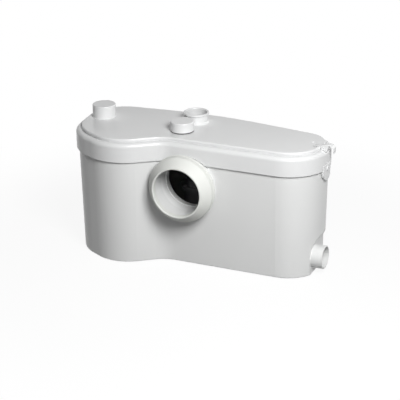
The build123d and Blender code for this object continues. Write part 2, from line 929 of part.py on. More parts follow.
# Pump casing: spiral chamber, flat floor with the suction hole, and the outlet stub
motor_axis = Axis((motor_x, motor_y, 0), (0, 0, 1))
with BuildPart() as pump_volute:
    with BuildSketch(upright(motor_x, motor_y, volute_bottom_z)):
        add(spiral_outline(volute_wall))
    extrude(amount=volute_top_z - volute_bottom_z)
    with BuildSketch(upright(motor_x, motor_y, volute_top_z)):
        for angle in pump_ear_angles:
            with Locations(*around(pump_ear_circle, 1, start=angle)):
                Circle(pump_ear_radius)
            with Locations(*around(pump_ear_circle - pump_ear_radius * 2, 1, start=angle)):
                Rectangle(pump_ear_radius * 4, pump_ear_radius * 2)
    extrude(amount=-pump_ear_height)
    with BuildSketch(Plane.YZ.offset(motor_x)):
        with Locations((discharge_y, outlet_z)):
            Circle(pipe_radius)
    extrude(amount=outlet_length)
    with BuildSketch(upright(motor_x, motor_y, volute_bottom_z + volute_floor)):
        add(spiral_outline(0))
    extrude(amount=volute_top_z - volute_bottom_z, mode=Mode.SUBTRACT)
    with BuildSketch(Plane.YZ.offset(motor_x)):
        with Locations((discharge_y, outlet_z)):
            Circle(pipe_bore)
    extrude(amount=outlet_length + overrun, mode=Mode.SUBTRACT)
    with BuildSketch(upright(motor_x, motor_y, volute_bottom_z - overrun)):
        Circle(suction_radius)
    extrude(amount=volute_floor + overrun * 2, mode=Mode.SUBTRACT)
    with BuildSketch(upright(motor_x, motor_y, volute_top_z + overrun)):
        for angle in pump_ear_angles:
            with Locations(*around(pump_ear_circle, 1, start=angle)):
                Circle(screw_radius + seat_gap)
    extrude(amount=-pump_ear_height - overrun * 2, mode=Mode.SUBTRACT)
save("pump_volute", pump_volute)

with BuildPart() as volute_cover:
    with BuildSketch(upright(motor_x, motor_y, volute_top_z)):
        add(spiral_outline(volute_wall))
        Circle(cover_radius)
        for angle in pump_ear_angles:
            with Locations(*around(pump_ear_circle, 1, start=angle)):
                Circle(pump_ear_radius)
            with Locations(*around(pump_ear_circle - pump_ear_radius * 2, 1, start=angle)):
                Rectangle(pump_ear_radius * 4, pump_ear_radius * 2)
    extrude(amount=cover_thickness)
    with BuildSketch(upright(motor_x, motor_y, cover_z + overrun)):
        Circle(seal_seat_radius + seat_gap)
        for angle in pump_ear_angles:
            with Locations(*around(pump_ear_circle, 1, start=angle)):
                Circle(screw_radius + seat_gap)
        with Locations(*around(base_screw_circle, base_screw_count)):
            Circle(screw_radius + seat_gap)
    extrude(amount=-cover_thickness - overrun * 2, mode=Mode.SUBTRACT)
save("volute_cover", volute_cover)

with BuildPart() as pump_screws:
    for angle in pump_ear_angles:
        place = Vector(pump_ear_circle, 0, 0).rotate(Axis.Z, angle)
        with Locations((motor_x + place.X, motor_y + place.Y, cover_z)):
            add(screw(cover_thickness + pump_ear_height * 3))
save("pump_screws", pump_screws)

with BuildPart() as cutting_ring:
    ring_top_z = volute_bottom_z
    with BuildSketch(upright(motor_x, motor_y, ring_top_z)):
        Circle(cutting_flange_radius)
    extrude(amount=-cutting_flange_thickness)
    with BuildSketch(upright(motor_x, motor_y, ring_top_z)):
        Circle(cutting_ring_radius)
    extrude(amount=-cutting_flange_thickness - cutting_ring_depth)
    with BuildSketch(upright(motor_x, motor_y, ring_top_z)):
        Circle(cutting_ring_radius - cutting_ring_wall)
    extrude(amount=-cutting_flange_thickness - cutting_ring_depth - overrun, mode=Mode.SUBTRACT)
    with BuildSketch(upright(motor_x, motor_y, ring_top_z - cutting_flange_thickness)):
        with Locations(*around(cutting_ring_radius, cutting_slot_count)):
            Rectangle(cutting_ring_wall * 3, cutting_slot_width)
    extrude(amount=-cutting_slot_length, mode=Mode.SUBTRACT)
save("cutting_ring", cutting_ring)

# Blades: a hub with tapered arms, each sharpened along its leading edge
with BuildPart() as cutter_blades:
    with BuildSketch(upright(motor_x, motor_y, blade_z)):
        for arm in range(blade_count):
            with BuildLine():
                swing = arm * 360 / blade_count
                corners_of_arm = [
                    (0, -blade_root_width / 2),
                    (blade_reach, -blade_root_width / 2),
                    (blade_reach, blade_tip_width - blade_root_width / 2),
                    (0, blade_root_width / 2),
                ]
                Polyline(*[Vector(x, y).rotate(Axis.Z, swing) for x, y in corners_of_arm], close=True)
            make_face()
    extrude(amount=blade_thickness)
    leading_edges = [
        edge
        for edge in cutter_blades.edges().group_by(Axis.Z)[-1]
        if edge.geom_type == GeomType.LINE
        and abs(edge.length - blade_reach + blade_root_width / 2) < blade_edge
    ]
    chamfer(leading_edges, length=blade_edge)
    with BuildSketch(upright(motor_x, motor_y, blade_z)):
        Circle(blade_hub_radius)
    extrude(amount=blade_hub_height)
    with BuildSketch(upright(motor_x, motor_y, blade_z - overrun)):
        Circle(shaft_thread_radius)
    extrude(amount=blade_hub_height + overrun * 2, mode=Mode.SUBTRACT)
save("cutter_blades", cutter_blades)

with BuildPart() as cutter_nut:
    with BuildSketch(upright(motor_x, motor_y, blade_z)):
        RegularPolygon(nut_width / 2, 6, major_radius=False)
        Circle(shaft_thread_radius, mode=Mode.SUBTRACT)
    extrude(amount=-nut_height)
save("cutter_nut", cutter_nut)

# Impeller: a disc with swept vanes hanging from it
impeller_hub_z = blade_z + blade_hub_height
with BuildPart() as impeller:
    with BuildSketch(upright(motor_x, motor_y, impeller_top_z)):
        Circle(impeller_radius)
    extrude(amount=-impeller_disc)
    with BuildSketch(upright(motor_x, motor_y, impeller_top_z)):
        Circle(impeller_eye)
    extrude(amount=-(impeller_top_z - impeller_hub_z))
    with BuildSketch(upright(motor_x, motor_y, impeller_top_z - impeller_disc)):
        for vane in range(impeller_vane_count):
            start = vane * 360 / impeller_vane_count
            vane_tip = impeller_radius - impeller_vane_thickness
            with BuildLine():
                vane_middle = impeller_eye + (vane_tip - impeller_eye) * vane_middle_share
                middle_angle = start + impeller_vane_sweep * vane_swing_share
                ThreePointArc(
                    Vector(impeller_eye - impeller_vane_thickness, 0).rotate(Axis.Z, start),
                    Vector(vane_middle, 0).rotate(Axis.Z, middle_angle),
                    Vector(vane_tip, 0).rotate(Axis.Z, start + impeller_vane_sweep),
                )
            trace(line_width=impeller_vane_thickness)
    extrude(amount=-impeller_vane_height)
    with BuildSketch(upright(motor_x, motor_y, impeller_top_z + overrun)):
        Circle(shaft_pump_radius)
    extrude(amount=-(impeller_top_z - impeller_hub_z) - overrun * 2, mode=Mode.SUBTRACT)
save("impeller", impeller)

# Shaft: thread, pump end, seal and bearing journals, rotor seat
shaft_foot_z = blade_z - nut_height
shaft_top_z = upper_bearing_z + bearing_width + shaft_tip_chamfer
core_z = stator_z - rotor_end_ring
core_top_z = stator_z + stator_height + rotor_end_ring
with BuildPart() as motor_shaft:
    add(
        turned(
            [
                (0, shaft_foot_z),
                (shaft_thread_radius - shaft_tip_chamfer, shaft_foot_z),
                (shaft_thread_radius, shaft_foot_z + shaft_tip_chamfer),
                (shaft_thread_radius, impeller_hub_z),
                (shaft_pump_radius, impeller_hub_z),
                (shaft_pump_radius, cover_z),
                (shaft_radius, cover_z),
                (shaft_radius, core_z),
                (shaft_core_radius, core_z),
                (shaft_core_radius, core_top_z),
                (shaft_radius, core_top_z),
                (shaft_radius, shaft_top_z - shaft_tip_chamfer),
                (shaft_radius - shaft_tip_chamfer, shaft_top_z),
                (0, shaft_top_z),
            ],
            motor_x,
            motor_y,
        )
    )
save("motor_shaft", motor_shaft)

with BuildPart() as shaft_seal_seat:
    with BuildSketch(upright(motor_x, motor_y, volute_top_z)):
        Circle(seal_seat_radius)
        Circle(seal_seat_bore, mode=Mode.SUBTRACT)
    extrude(amount=cover_thickness)
save("shaft_seal_seat", shaft_seal_seat)

# Turning half of the shaft seal: a bellows between the impeller and the ceramic seat
with BuildPart() as shaft_seal_ring:
    seal_foot_z = impeller_top_z
    seal_face_z = volute_top_z - seal_face_gap
    waist = (seal_face_z - seal_foot_z) / 4
    add(
        turned(
            [
                (shaft_pump_radius, seal_foot_z),
                (seal_ring_radius, seal_foot_z),
                (seal_ring_radius, seal_foot_z + waist),
                (seal_ring_radius - waist, seal_foot_z + waist * 2),
                (seal_ring_radius, seal_foot_z + waist * 3),
                (seal_ring_radius, seal_face_z),
                (shaft_pump_radius, seal_face_z),
            ],
            motor_x,
            motor_y,
        )
    )
save("shaft_seal_ring", shaft_seal_ring)

with BuildPart() as bearing_outer_rings:
    for bearing_z in (lower_bearing_z, upper_bearing_z):
        with BuildSketch(upright(motor_x, motor_y, bearing_z)):
            Circle(bearing_radius)
            Circle(bearing_inner_radius + running_gap * 2, mode=Mode.SUBTRACT)
        extrude(amount=bearing_width)
save("bearing_outer_rings", bearing_outer_rings)

with BuildPart() as bearing_inner_rings:
    for bearing_z in (lower_bearing_z, upper_bearing_z):
        with BuildSketch(upright(motor_x, motor_y, bearing_z)):
            Circle(bearing_inner_radius)
            Circle(shaft_radius, mode=Mode.SUBTRACT)
        extrude(amount=bearing_width)
save("bearing_inner_rings", bearing_inner_rings)

# Motor base: a cup on the pump cover that holds the lower bearing
with BuildPart() as motor_base:
    hub_top_z = lower_bearing_z + bearing_width + base_wall / 2
    add(
        turned(
            [
                (shaft_pump_radius + base_wall, cover_z),
                (cover_radius, cover_z),
                (cover_radius, cover_z + base_flange),
                (base_body_radius, cover_z + base_flange),
                (base_body_radius, base_top_z - motor_flange_thickness),
                (motor_flange_radius, base_top_z - motor_flange_thickness),
                (motor_flange_radius, base_top_z),
                (base_body_radius - base_wall, base_top_z),
                (base_body_radius - base_wall, cover_z + base_floor),
                (bearing_hub_radius, cover_z + base_floor),
                (bearing_hub_radius, hub_top_z),
                (bearing_radius + seat_gap, hub_top_z),
                (bearing_radius + seat_gap, lower_bearing_z),
                (shaft_pump_radius + base_wall, lower_bearing_z),
            ],
            motor_x,
            motor_y,
        )
    )
    with BuildSketch(upright(motor_x, motor_y, base_top_z + overrun)):
        with Locations(*around(motor_screw_circle, motor_screw_count, start=motor_screw_angle)):
            Circle(screw_radius + seat_gap)
    extrude(amount=-motor_flange_thickness * 4, mode=Mode.SUBTRACT)
    with BuildSketch(upright(motor_x, motor_y, cover_z - overrun)):
        with Locations(*around(base_screw_circle, base_screw_count)):
            Circle(screw_radius + seat_gap)
    extrude(amount=base_flange + overrun * 2, mode=Mode.SUBTRACT)
save("motor_base", motor_base)

with BuildPart() as base_screws:
    with Locations((motor_x, motor_y, cover_z + base_flange)):
        with Locations(*around(base_screw_circle, base_screw_count)):
            add(screw(base_flange + cover_thickness))
save("base_screws", base_screws)

with BuildPart() as motor_housing:
    crown_z = housing_top_z - housing_round
    wall_bore = housing_radius - housing_wall
    with BuildSketch(Plane(origin=(motor_x, motor_y, 0), x_dir=(1, 0, 0), z_dir=(0, -1, 0))):
        with BuildLine():
            Polyline(
                (bearing_radius + seat_gap, upper_bearing_z),
                (bearing_hub_radius, upper_bearing_z),
                (bearing_hub_radius, housing_top_z - housing_top),
                (wall_bore - housing_round, housing_top_z - housing_top),
                (wall_bore, housing_top_z - housing_top - housing_round),
                (wall_bore, base_top_z),
                (motor_flange_radius, base_top_z),
                (motor_flange_radius, base_top_z + motor_flange_thickness),
                (housing_radius, base_top_z + motor_flange_thickness),
                (housing_radius, crown_z),
            )
            crown_end = (housing_radius - housing_round, housing_top_z)
            RadiusArc((housing_radius, crown_z), crown_end, -housing_round)
            Polyline(
                (housing_radius - housing_round, housing_top_z),
                (0, housing_top_z),
                (0, upper_bearing_z + bearing_width + base_wall),
                (bearing_radius - base_wall, upper_bearing_z + bearing_width + base_wall),
                (bearing_radius - base_wall, upper_bearing_z + bearing_width),
                (bearing_radius + seat_gap, upper_bearing_z + bearing_width),
                (bearing_radius + seat_gap, upper_bearing_z),
            )
        make_face()
    revolve(axis=motor_axis)
    with BuildSketch(upright(motor_x, motor_y, base_top_z)):
        with Locations(*around(housing_radius, housing_rib_count, start=housing_rib_angle)):
            Rectangle(housing_rib_proud * 2, housing_rib_width)
    extrude(amount=crown_z - base_top_z)
    with BuildSketch(upright(motor_x, motor_y, base_top_z + motor_flange_thickness + overrun)):
        with Locations(*around(motor_screw_circle, motor_screw_count, start=motor_screw_angle)):
            Circle(screw_radius + seat_gap)
    extrude(amount=-motor_flange_thickness - overrun * 2, mode=Mode.SUBTRACT)
    with BuildSketch(upright(motor_x + motor_gland_offset, motor_y, housing_top_z + overrun)):
        Circle(motor_gland_radius - housing_wall)
    extrude(amount=-housing_top - overrun * 2, mode=Mode.SUBTRACT)
save("motor_housing", motor_housing)

with BuildPart() as motor_gland:
    add(
        turned(
            [
                (motor_gland_bore, housing_top_z - housing_top),
                (motor_gland_radius - housing_wall - seat_gap, housing_top_z - housing_top),
                (motor_gland_radius - housing_wall - seat_gap, housing_top_z),
                (motor_gland_radius, housing_top_z),
                (motor_gland_radius, housing_top_z + motor_gland_height / 3),
                (motor_gland_radius - housing_wall, housing_top_z + motor_gland_height),
                (motor_gland_bore, housing_top_z + motor_gland_height),
            ],
            motor_x + motor_gland_offset,
            motor_y,
        )
    )
save("motor_gland", motor_gland)

with BuildPart() as motor_screws:
    with Locations((motor_x, motor_y, base_top_z + motor_flange_thickness)):
        with Locations(*around(motor_screw_circle, motor_screw_count, start=motor_screw_angle)):
            add(screw(motor_flange_thickness * 3))
save("motor_screws", motor_screws)

# Stator: a ring of laminations with slots, and the coils that fill them
with BuildPart() as stator_core:
    with BuildSketch(upright(motor_x, motor_y, stator_z)):
        Circle(wall_bore - seat_gap)
        Circle(stator_bore, mode=Mode.SUBTRACT)
        with Locations(*around(stator_bore + slot_mouth + slot_depth / 2, slot_count)):
            Rectangle(slot_depth, slot_width, mode=Mode.SUBTRACT)
    extrude(amount=stator_height)
save("stator_core", stator_core)

with BuildPart() as stator_windings:
    with BuildSketch(upright(motor_x, motor_y, stator_z)):
        with Locations(*around(stator_bore + slot_mouth + slot_depth / 2, slot_count)):
            Rectangle(slot_depth - seat_gap * 2, slot_width - seat_gap * 2)
    extrude(amount=stator_height)
    for coil_z in (stator_z - winding_overhang, stator_z + stator_height):
        with BuildSketch(upright(motor_x, motor_y, coil_z)):
            Circle(stator_bore + slot_mouth + slot_depth)
            Circle(stator_bore + slot_mouth, mode=Mode.SUBTRACT)
        extrude(amount=winding_overhang)
save("stator_windings", stator_windings)

with BuildPart() as rotor_core:
    rotor_radius = stator_bore - air_gap
    with BuildSketch(upright(motor_x, motor_y, stator_z)):
        Circle(rotor_radius)
    extrude(amount=stator_height)
    for end_z in (core_z, stator_z + stator_height):
        with BuildSketch(upright(motor_x, motor_y, end_z)):
            Circle(rotor_radius - air_gap * 2)
            Circle(rotor_radius - rotor_end_wall, mode=Mode.SUBTRACT)
        extrude(amount=rotor_end_ring)
    with BuildSketch(upright(motor_x, motor_y, stator_z - overrun)):
        Circle(shaft_core_radius)
    extrude(amount=stator_height + overrun * 2, mode=Mode.SUBTRACT)
save("rotor_core", rotor_core)

# Discharge bend: socket over the pump's outlet, quarter turn, straight up to the valve
outlet_end_x = motor_x + outlet_length
bend_path_points = [
    (outlet_end_x, discharge_y, outlet_z),
    (discharge_x - bend_radius, discharge_y, outlet_z),
    (discharge_x, discharge_y, outlet_z + bend_radius),
    (discharge_x, discharge_y, bend_top_z),
]


def bend_tube(radius):
    """The bend's round section, swept along its path."""
    arc_middle = bend_radius * (1 - math.cos(math.radians(45)))
    with BuildPart() as tube:
        with BuildLine() as path:
            Line(bend_path_points[0], bend_path_points[1])
            ThreePointArc(
                bend_path_points[1],
                (
                    discharge_x - bend_radius + bend_radius * math.sin(math.radians(45)),
                    discharge_y,
                    outlet_z + arc_middle,
                ),
                bend_path_points[2],
            )
            Line(bend_path_points[2], bend_path_points[3])
        with BuildSketch(Plane(origin=bend_path_points[0], x_dir=(0, 1, 0), z_dir=(1, 0, 0))):
            Circle(radius)
        sweep(path=path.wires()[0])
    return tube.part


with BuildPart() as discharge_bend:
    add(bend_tube(pipe_radius))
    with BuildSketch(Plane.YZ.offset(outlet_end_x - socket_length)):
        with Locations((discharge_y, outlet_z)):
            Circle(pipe_radius + socket_wall)
    extrude(amount=socket_length + socket_wall)
    with BuildSketch(Plane.YZ.offset(outlet_end_x - socket_length - overrun)):
        with Locations((discharge_y, outlet_z)):
            Circle(pipe_radius + seat_gap)
    extrude(amount=socket_length + overrun, mode=Mode.SUBTRACT)
    add(bend_tube(pipe_bore), mode=Mode.SUBTRACT)
save("discharge_bend", discharge_bend)

# Clips that grip the bend's socket and the valve's socket
with BuildPart() as hose_clips:
    clip_bore = pipe_radius + socket_wall + seat_gap
    with BuildSketch(Plane.YZ.offset(outlet_end_x - socket_length / 2 - clip_width / 2)):
        with Locations((discharge_y, outlet_z)):
            Circle(clip_bore + clip_thickness)
            with Locations((0, clip_bore + clip_lug / 2)):
                Rectangle(clip_lug, clip_lug)
            Circle(clip_bore, mode=Mode.SUBTRACT)
    extrude(amount=clip_width)
    with BuildSketch(upright(discharge_x, discharge_y, bend_top_z - valve_socket / 2 - clip_width / 2)):
        Circle(clip_bore + clip_thickness)
        with Locations((0, clip_bore + clip_lug / 2)):
            Rectangle(clip_lug, clip_lug)
        Circle(clip_bore, mode=Mode.SUBTRACT)
    extrude(amount=clip_width)
save("hose_clips", hose_clips)

# Non-return valve: body with a seat, a hinged flap on a pin, and a screwed top
pin_y = discharge_y + flap_pin_offset
pin_z = valve_seat_z + flap_pin_rise
with BuildPart() as valve_body:
    chamber_wall = valve_chamber_bore + valve_wall
    add(
        turned(
            [
                (pipe_radius + seat_gap, bend_top_z - valve_socket),
                (pipe_radius + socket_wall, bend_top_z - valve_socket),
                (pipe_radius + socket_wall, bend_top_z),
                (chamber_wall, valve_seat_z),
                (chamber_wall, valve_top_z - valve_flange_thickness),
                (valve_flange_radius, valve_top_z - valve_flange_thickness),
                (valve_flange_radius, valve_top_z),
                (valve_chamber_bore, valve_top_z),
                (valve_chamber_bore, valve_seat_z),
                (pipe_bore, valve_seat_z),
                (pipe_bore, bend_top_z),
                (pipe_radius + seat_gap, bend_top_z),
            ],
            discharge_x,
            discharge_y,
        )
    )
    # Ears that hold the flap's pin
    with BuildSketch(Plane.YZ.offset(discharge_x)):
        with Locations((pin_y, (valve_seat_z + pin_z + flap_knuckle_radius) / 2)):
            Rectangle(flap_knuckle_radius * 2, pin_z + flap_knuckle_radius - valve_seat_z)
        with Locations((pin_y, pin_z)):
            Circle(flap_pin_radius, mode=Mode.SUBTRACT)
    extrude(amount=flap_pin_length / 2, both=True)
    with BuildSketch(Plane.YZ.offset(discharge_x)):
        with Locations((pin_y, (valve_seat_z + pin_z + flap_knuckle_radius) / 2)):
            Rectangle(flap_knuckle_radius * 2, pin_z + flap_knuckle_radius - valve_seat_z)
    extrude(amount=flap_pin_length / 2 - flap_ear_thickness, both=True, mode=Mode.SUBTRACT)
    with BuildSketch(upright(discharge_x, discharge_y, valve_top_z + overrun)):
        with Locations(*around(valve_screw_circle, valve_screw_count)):
            Circle(screw_radius + seat_gap)
    extrude(amount=-valve_flange_thickness - overrun * 2, mode=Mode.SUBTRACT)
save("valve_body", valve_body)

with BuildPart() as valve_flap:
    with BuildSketch(upright(discharge_x, discharge_y, valve_seat_z)):
        Circle(flap_radius)
        with Locations((0, flap_pin_offset)):
            Rectangle(flap_radius * 2, flap_knuckle_radius * 3, mode=Mode.SUBTRACT)
    extrude(amount=flap_thickness)
    with BuildSketch(upright(discharge_x, discharge_y, valve_seat_z + flap_thickness)):
        Circle(pipe_bore - flap_thickness)
    extrude(amount=flap_thickness / 2, taper=flap_crown_taper)
    # Arm from the disc up to the knuckle
    with BuildSketch(upright(discharge_x, discharge_y, valve_seat_z + flap_thickness / 2)):
        with Locations((0, flap_pin_offset / 2)):
            Rectangle(flap_knuckle_length, flap_pin_offset)
    extrude(amount=flap_pin_rise)
    with BuildSketch(Plane.YZ.offset(discharge_x)):
        with Locations((pin_y, pin_z)):
            Circle(flap_knuckle_radius)
    extrude(amount=flap_knuckle_length / 2, both=True)
    with BuildSketch(Plane.YZ.offset(discharge_x)):
        with Locations((pin_y, pin_z)):
            Circle(flap_pin_radius + running_gap)
    extrude(amount=flap_knuckle_length, both=True, mode=Mode.SUBTRACT)
save("valve_flap", valve_flap)

with BuildPart() as valve_pin:
    with BuildSketch(Plane.YZ.offset(discharge_x)):
        with Locations((pin_y, pin_z)):
            Circle(flap_pin_radius)
    extrude(amount=flap_pin_length / 2, both=True)
save("valve_pin", valve_pin)

with BuildPart() as valve_top:
    socket_radius = riser_radius + seat_gap
    add(
        turned(
            [
                (riser_bore, valve_top_z),
                (valve_flange_radius, valve_top_z),
                (valve_flange_radius, riser_foot_z),
                (socket_radius + socket_wall, riser_foot_z),
                (socket_radius + socket_wall, riser_foot_z + socket_length),
                (socket_radius, riser_foot_z + socket_length),
                (socket_radius, riser_foot_z),
                (riser_bore, riser_foot_z),
            ],
            discharge_x,
            discharge_y,
        )
    )
    with BuildSketch(upright(discharge_x, discharge_y, riser_foot_z + overrun)):
        with Locations(*around(valve_screw_circle, valve_screw_count)):
            Circle(screw_radius + seat_gap)
    extrude(amount=-valve_flange_thickness - overrun * 2, mode=Mode.SUBTRACT)
save("valve_top", valve_top)

with BuildPart() as valve_screws:
    with Locations((discharge_x, discharge_y, riser_foot_z)):
        with Locations(*around(valve_screw_circle, valve_screw_count)):
            add(screw(valve_flange_thickness * 2))
save("valve_screws", valve_screws)

with BuildPart() as riser_pipe:
    with BuildSketch(upright(discharge_x, discharge_y, riser_foot_z)):
        Circle(riser_radius)
        Circle(riser_bore, mode=Mode.SUBTRACT)
    extrude(amount=riser_top_z - riser_foot_z)
save("riser_pipe", riser_pipe)

# Side inlet's flap valve, on the inside of the tank's stepped wall
seat_x = step_x - tank_wall
side_pin_z = stub_z + side_seat_radius + side_knuckle_radius
side_pin_x = seat_x - side_seat_thickness - side_knuckle_radius - seat_gap
seat_flare = math.degrees(math.atan2(side_seat_radius - stub_bore - side_seat_root, side_seat_thickness))
with BuildPart() as side_valve_seat:
    with BuildSketch(Plane.YZ.offset(seat_x)):
        with Locations((stub_y, stub_z)):
            Circle(stub_bore + side_seat_root)
    extrude(amount=-side_seat_thickness, taper=-seat_flare)
    with BuildSketch(Plane.YZ.offset(seat_x)):
        with Locations((stub_y, (stub_z + stub_bore + side_pin_z + side_knuckle_radius) / 2)):
            Rectangle(side_pin_length, side_pin_z + side_knuckle_radius - stub_z - stub_bore)
    extrude(amount=-side_seat_thickness)
    with BuildSketch(Plane.YZ.offset(seat_x)):
        with Locations((stub_y, stub_z)):
            Circle(stub_bore)
    extrude(amount=-side_seat_thickness, mode=Mode.SUBTRACT)
    for side in (-1, 1):
        ear_y = stub_y + side * (side_pin_length / 2 - side_ear_thickness / 2)
        with BuildSketch(Plane.XZ.offset(-ear_y)):
            with Locations((side_pin_x, side_pin_z)):
                Circle(side_knuckle_radius)
            with Locations(((seat_x - side_seat_thickness / 2 + side_pin_x) / 2, side_pin_z)):
                Rectangle(seat_x - side_seat_thickness / 2 - side_pin_x, side_knuckle_radius * 2)
            with Locations((side_pin_x, side_pin_z)):
                Circle(side_pin_radius, mode=Mode.SUBTRACT)
        extrude(amount=side_ear_thickness / 2, both=True)
save("side_valve_seat", side_valve_seat)

with BuildPart() as side_flap:
    flap_face_x = seat_x - side_seat_thickness
    with BuildSketch(Plane.YZ.offset(flap_face_x)):
        with Locations((stub_y, stub_z)):
            Circle(side_flap_radius)
        with Locations((stub_y, (stub_z + side_pin_z) / 2)):
            Rectangle(side_knuckle_length, side_pin_z - stub_z)
    extrude(amount=-side_flap_thickness)
    with BuildSketch(Plane.XZ.offset(-stub_y)):
        with Locations((side_pin_x, side_pin_z)):
            Circle(side_knuckle_radius)
    extrude(amount=side_knuckle_length / 2, both=True)
    with BuildSketch(Plane.XZ.offset(-stub_y)):
        with Locations((side_pin_x, side_pin_z)):
            Circle(side_pin_radius + running_gap)
    extrude(amount=side_knuckle_length, both=True, mode=Mode.SUBTRACT)
save("side_flap", side_flap)

with BuildPart() as side_flap_pin:
    with BuildSketch(Plane.XZ.offset(-stub_y)):
        with Locations((side_pin_x, side_pin_z)):
            Circle(side_pin_radius)
    extrude(amount=side_pin_length / 2, both=True)
save("side_flap_pin", side_flap_pin)

# Pressure bell: an open bell near the floor that necks up into the diaphragm chamber
with BuildPart() as pressure_bell:
    chamber_z = control_z - bell_chamber_height
    add(
        turned(
            [
                (bell_mouth_radius - bell_wall, bell_mouth_z),
                (bell_mouth_radius, bell_mouth_z),
                (bell_mouth_radius, bell_shoulder_z),
                (bell_tube_radius, bell_tube_z),
                (bell_tube_radius, chamber_z),
                (bell_chamber_radius, chamber_z),
                (bell_chamber_radius, control_z),
                (diaphragm_radius + seat_gap, control_z),
                (diaphragm_radius + seat_gap, control_z - diaphragm_thickness),
                (bell_chamber_bore, control_z - diaphragm_thickness),
                (bell_chamber_bore, chamber_z + bell_wall),
                (bell_tube_radius - bell_wall, chamber_z + bell_wall),
                (bell_tube_radius - bell_wall, bell_tube_z),
                (bell_mouth_radius - bell_wall, bell_shoulder_z),
            ],
            control_x,
            control_y,
        )
    )
    with BuildSketch(upright(control_x, control_y, control_z + overrun)):
        with Locations(*around(bell_screw_circle, bell_screw_count)):
            Circle(screw_radius + seat_gap)
    extrude(amount=-bell_chamber_height - overrun * 3, mode=Mode.SUBTRACT)
save("pressure_bell", pressure_bell)

with BuildPart() as bell_screws:
    with BuildSketch(upright(control_x, control_y, chamber_z)):
        with Locations(*around(bell_screw_circle, bell_screw_count)):
            RegularPolygon(screw_head_radius, 6)
    extrude(amount=-screw_head_height)
    with BuildSketch(upright(control_x, control_y, chamber_z)):
        with Locations(*around(bell_screw_circle, bell_screw_count)):
            Circle(screw_radius)
    extrude(amount=bell_chamber_height + control_floor / 2)
save("bell_screws", bell_screws)

# Rubber diaphragm, clamped between the bell and the box
with BuildPart() as diaphragm:
    with BuildSketch(upright(control_x, control_y, control_z)):
        Circle(diaphragm_radius)
    extrude(amount=-diaphragm_thickness)
    with BuildSketch(upright(control_x, control_y, control_z - diaphragm_thickness)):
        Circle(bell_chamber_bore - diaphragm_thickness)
        Circle(plunger_foot_radius + diaphragm_thickness, mode=Mode.SUBTRACT)
    extrude(amount=-diaphragm_thickness, taper=diaphragm_taper)
save("diaphragm", diaphragm)

with BuildPart() as plunger:
    with BuildSketch(upright(control_x, control_y, plunger_foot_z)):
        Circle(plunger_foot_radius)
    extrude(amount=plunger_foot_height)
    with BuildSketch(upright(control_x, control_y, plunger_foot_z)):
        Circle(plunger_radius)
    extrude(amount=plunger_top_z - plunger_foot_z)
save("plunger", plunger)

# Control box on the tank's two shelves
with BuildPart() as control_box:
    with BuildSketch(upright(control_x, control_y, control_z)):
        RectangleRounded(control_length, control_depth, control_corner)
    extrude(amount=control_height)
    with BuildSketch(upright(control_x, control_y, control_floor_z)):
        RectangleRounded(
            control_length - control_wall * 2,
            control_depth - control_wall * 2,
            control_corner - control_wall,
        )
    extrude(amount=control_height, mode=Mode.SUBTRACT)
    # Corner posts for the cover's screws
    post_x = control_length / 2 - control_wall - control_post_radius
    post_y = control_depth / 2 - control_wall - control_post_radius
    with BuildSketch(upright(control_x, control_y, control_floor_z)):
        with GridLocations(post_x * 2, post_y * 2, 2, 2):
            Circle(control_post_radius)
    extrude(amount=control_rim_z - control_floor_z)
    with BuildSketch(upright(control_x, control_y, control_rim_z + overrun)):
        with GridLocations(post_x * 2, post_y * 2, 2, 2):
            Circle(screw_radius + seat_gap)
    extrude(amount=-socket_length - overrun, mode=Mode.SUBTRACT)
    # Room under the floor for the plunger's foot, and the plunger's hole
    with BuildSketch(upright(control_x, control_y, control_z)):
        Circle(plunger_foot_radius + slide_gap * 2)
    extrude(amount=plunger_foot_height + diaphragm_recess, mode=Mode.SUBTRACT)
    with BuildSketch(upright(control_x, control_y, control_z)):
        Circle(plunger_radius + slide_gap)
    extrude(amount=control_floor + overrun, mode=Mode.SUBTRACT)
    # Screw holes for the bell, and the cable's way in
    with BuildSketch(upright(control_x, control_y, control_z)):
        with Locations(*around(bell_screw_circle, bell_screw_count)):
            Circle(screw_radius)
    extrude(amount=control_floor / 2, mode=Mode.SUBTRACT)
    with BuildSketch(Plane.XZ.offset(-control_y - control_depth / 2 + control_wall + overrun)):
        with Locations((gland_place[0], gland_z)):
            Circle(gland_bore + slide_gap)
    extrude(amount=-control_wall - overrun * 2, mode=Mode.SUBTRACT)
save("control_box", control_box)

with BuildPart() as control_cover:
    with BuildSketch(upright(control_x, control_y, control_rim_z)):
        RectangleRounded(control_length, control_depth, control_corner)
    extrude(amount=control_cover_thickness)
    with BuildSketch(upright(control_x, control_y, control_rim_z + control_cover_thickness + overrun)):
        with GridLocations(post_x * 2, post_y * 2, 2, 2):
            Circle(screw_radius + seat_gap)
    extrude(amount=-control_cover_thickness - overrun * 2, mode=Mode.SUBTRACT)
save("control_cover", control_cover)

with BuildPart() as control_screws:
    with Locations((control_x, control_y, control_rim_z + control_cover_thickness)):
        with GridLocations(post_x * 2, post_y * 2, 2, 2):
            add(screw(socket_length))
save("control_screws", control_screws)

with BuildPart() as capacitor:
    capacitor_x = control_x + capacitor_offset
    capacitor_z = control_floor_z + capacitor_radius
    with BuildSketch(Plane.XZ.offset(-control_y + capacitor_length / 2)):
        with Locations((capacitor_x, capacitor_z)):
            Circle(capacitor_radius)
    extrude(amount=-capacitor_length)
    chamfer(capacitor.edges().filter_by(GeomType.CIRCLE), length=capacitor_round)
    with BuildSketch(Plane.XZ.offset(-control_y + capacitor_length / 2)):
        with Locations((capacitor_x, capacitor_z)):
            with GridLocations(capacitor_radius, 0, 2, 1):
                Rectangle(capacitor_tab * 2, capacitor_round / 2)
    extrude(amount=capacitor_tab)
save("capacitor", capacitor)

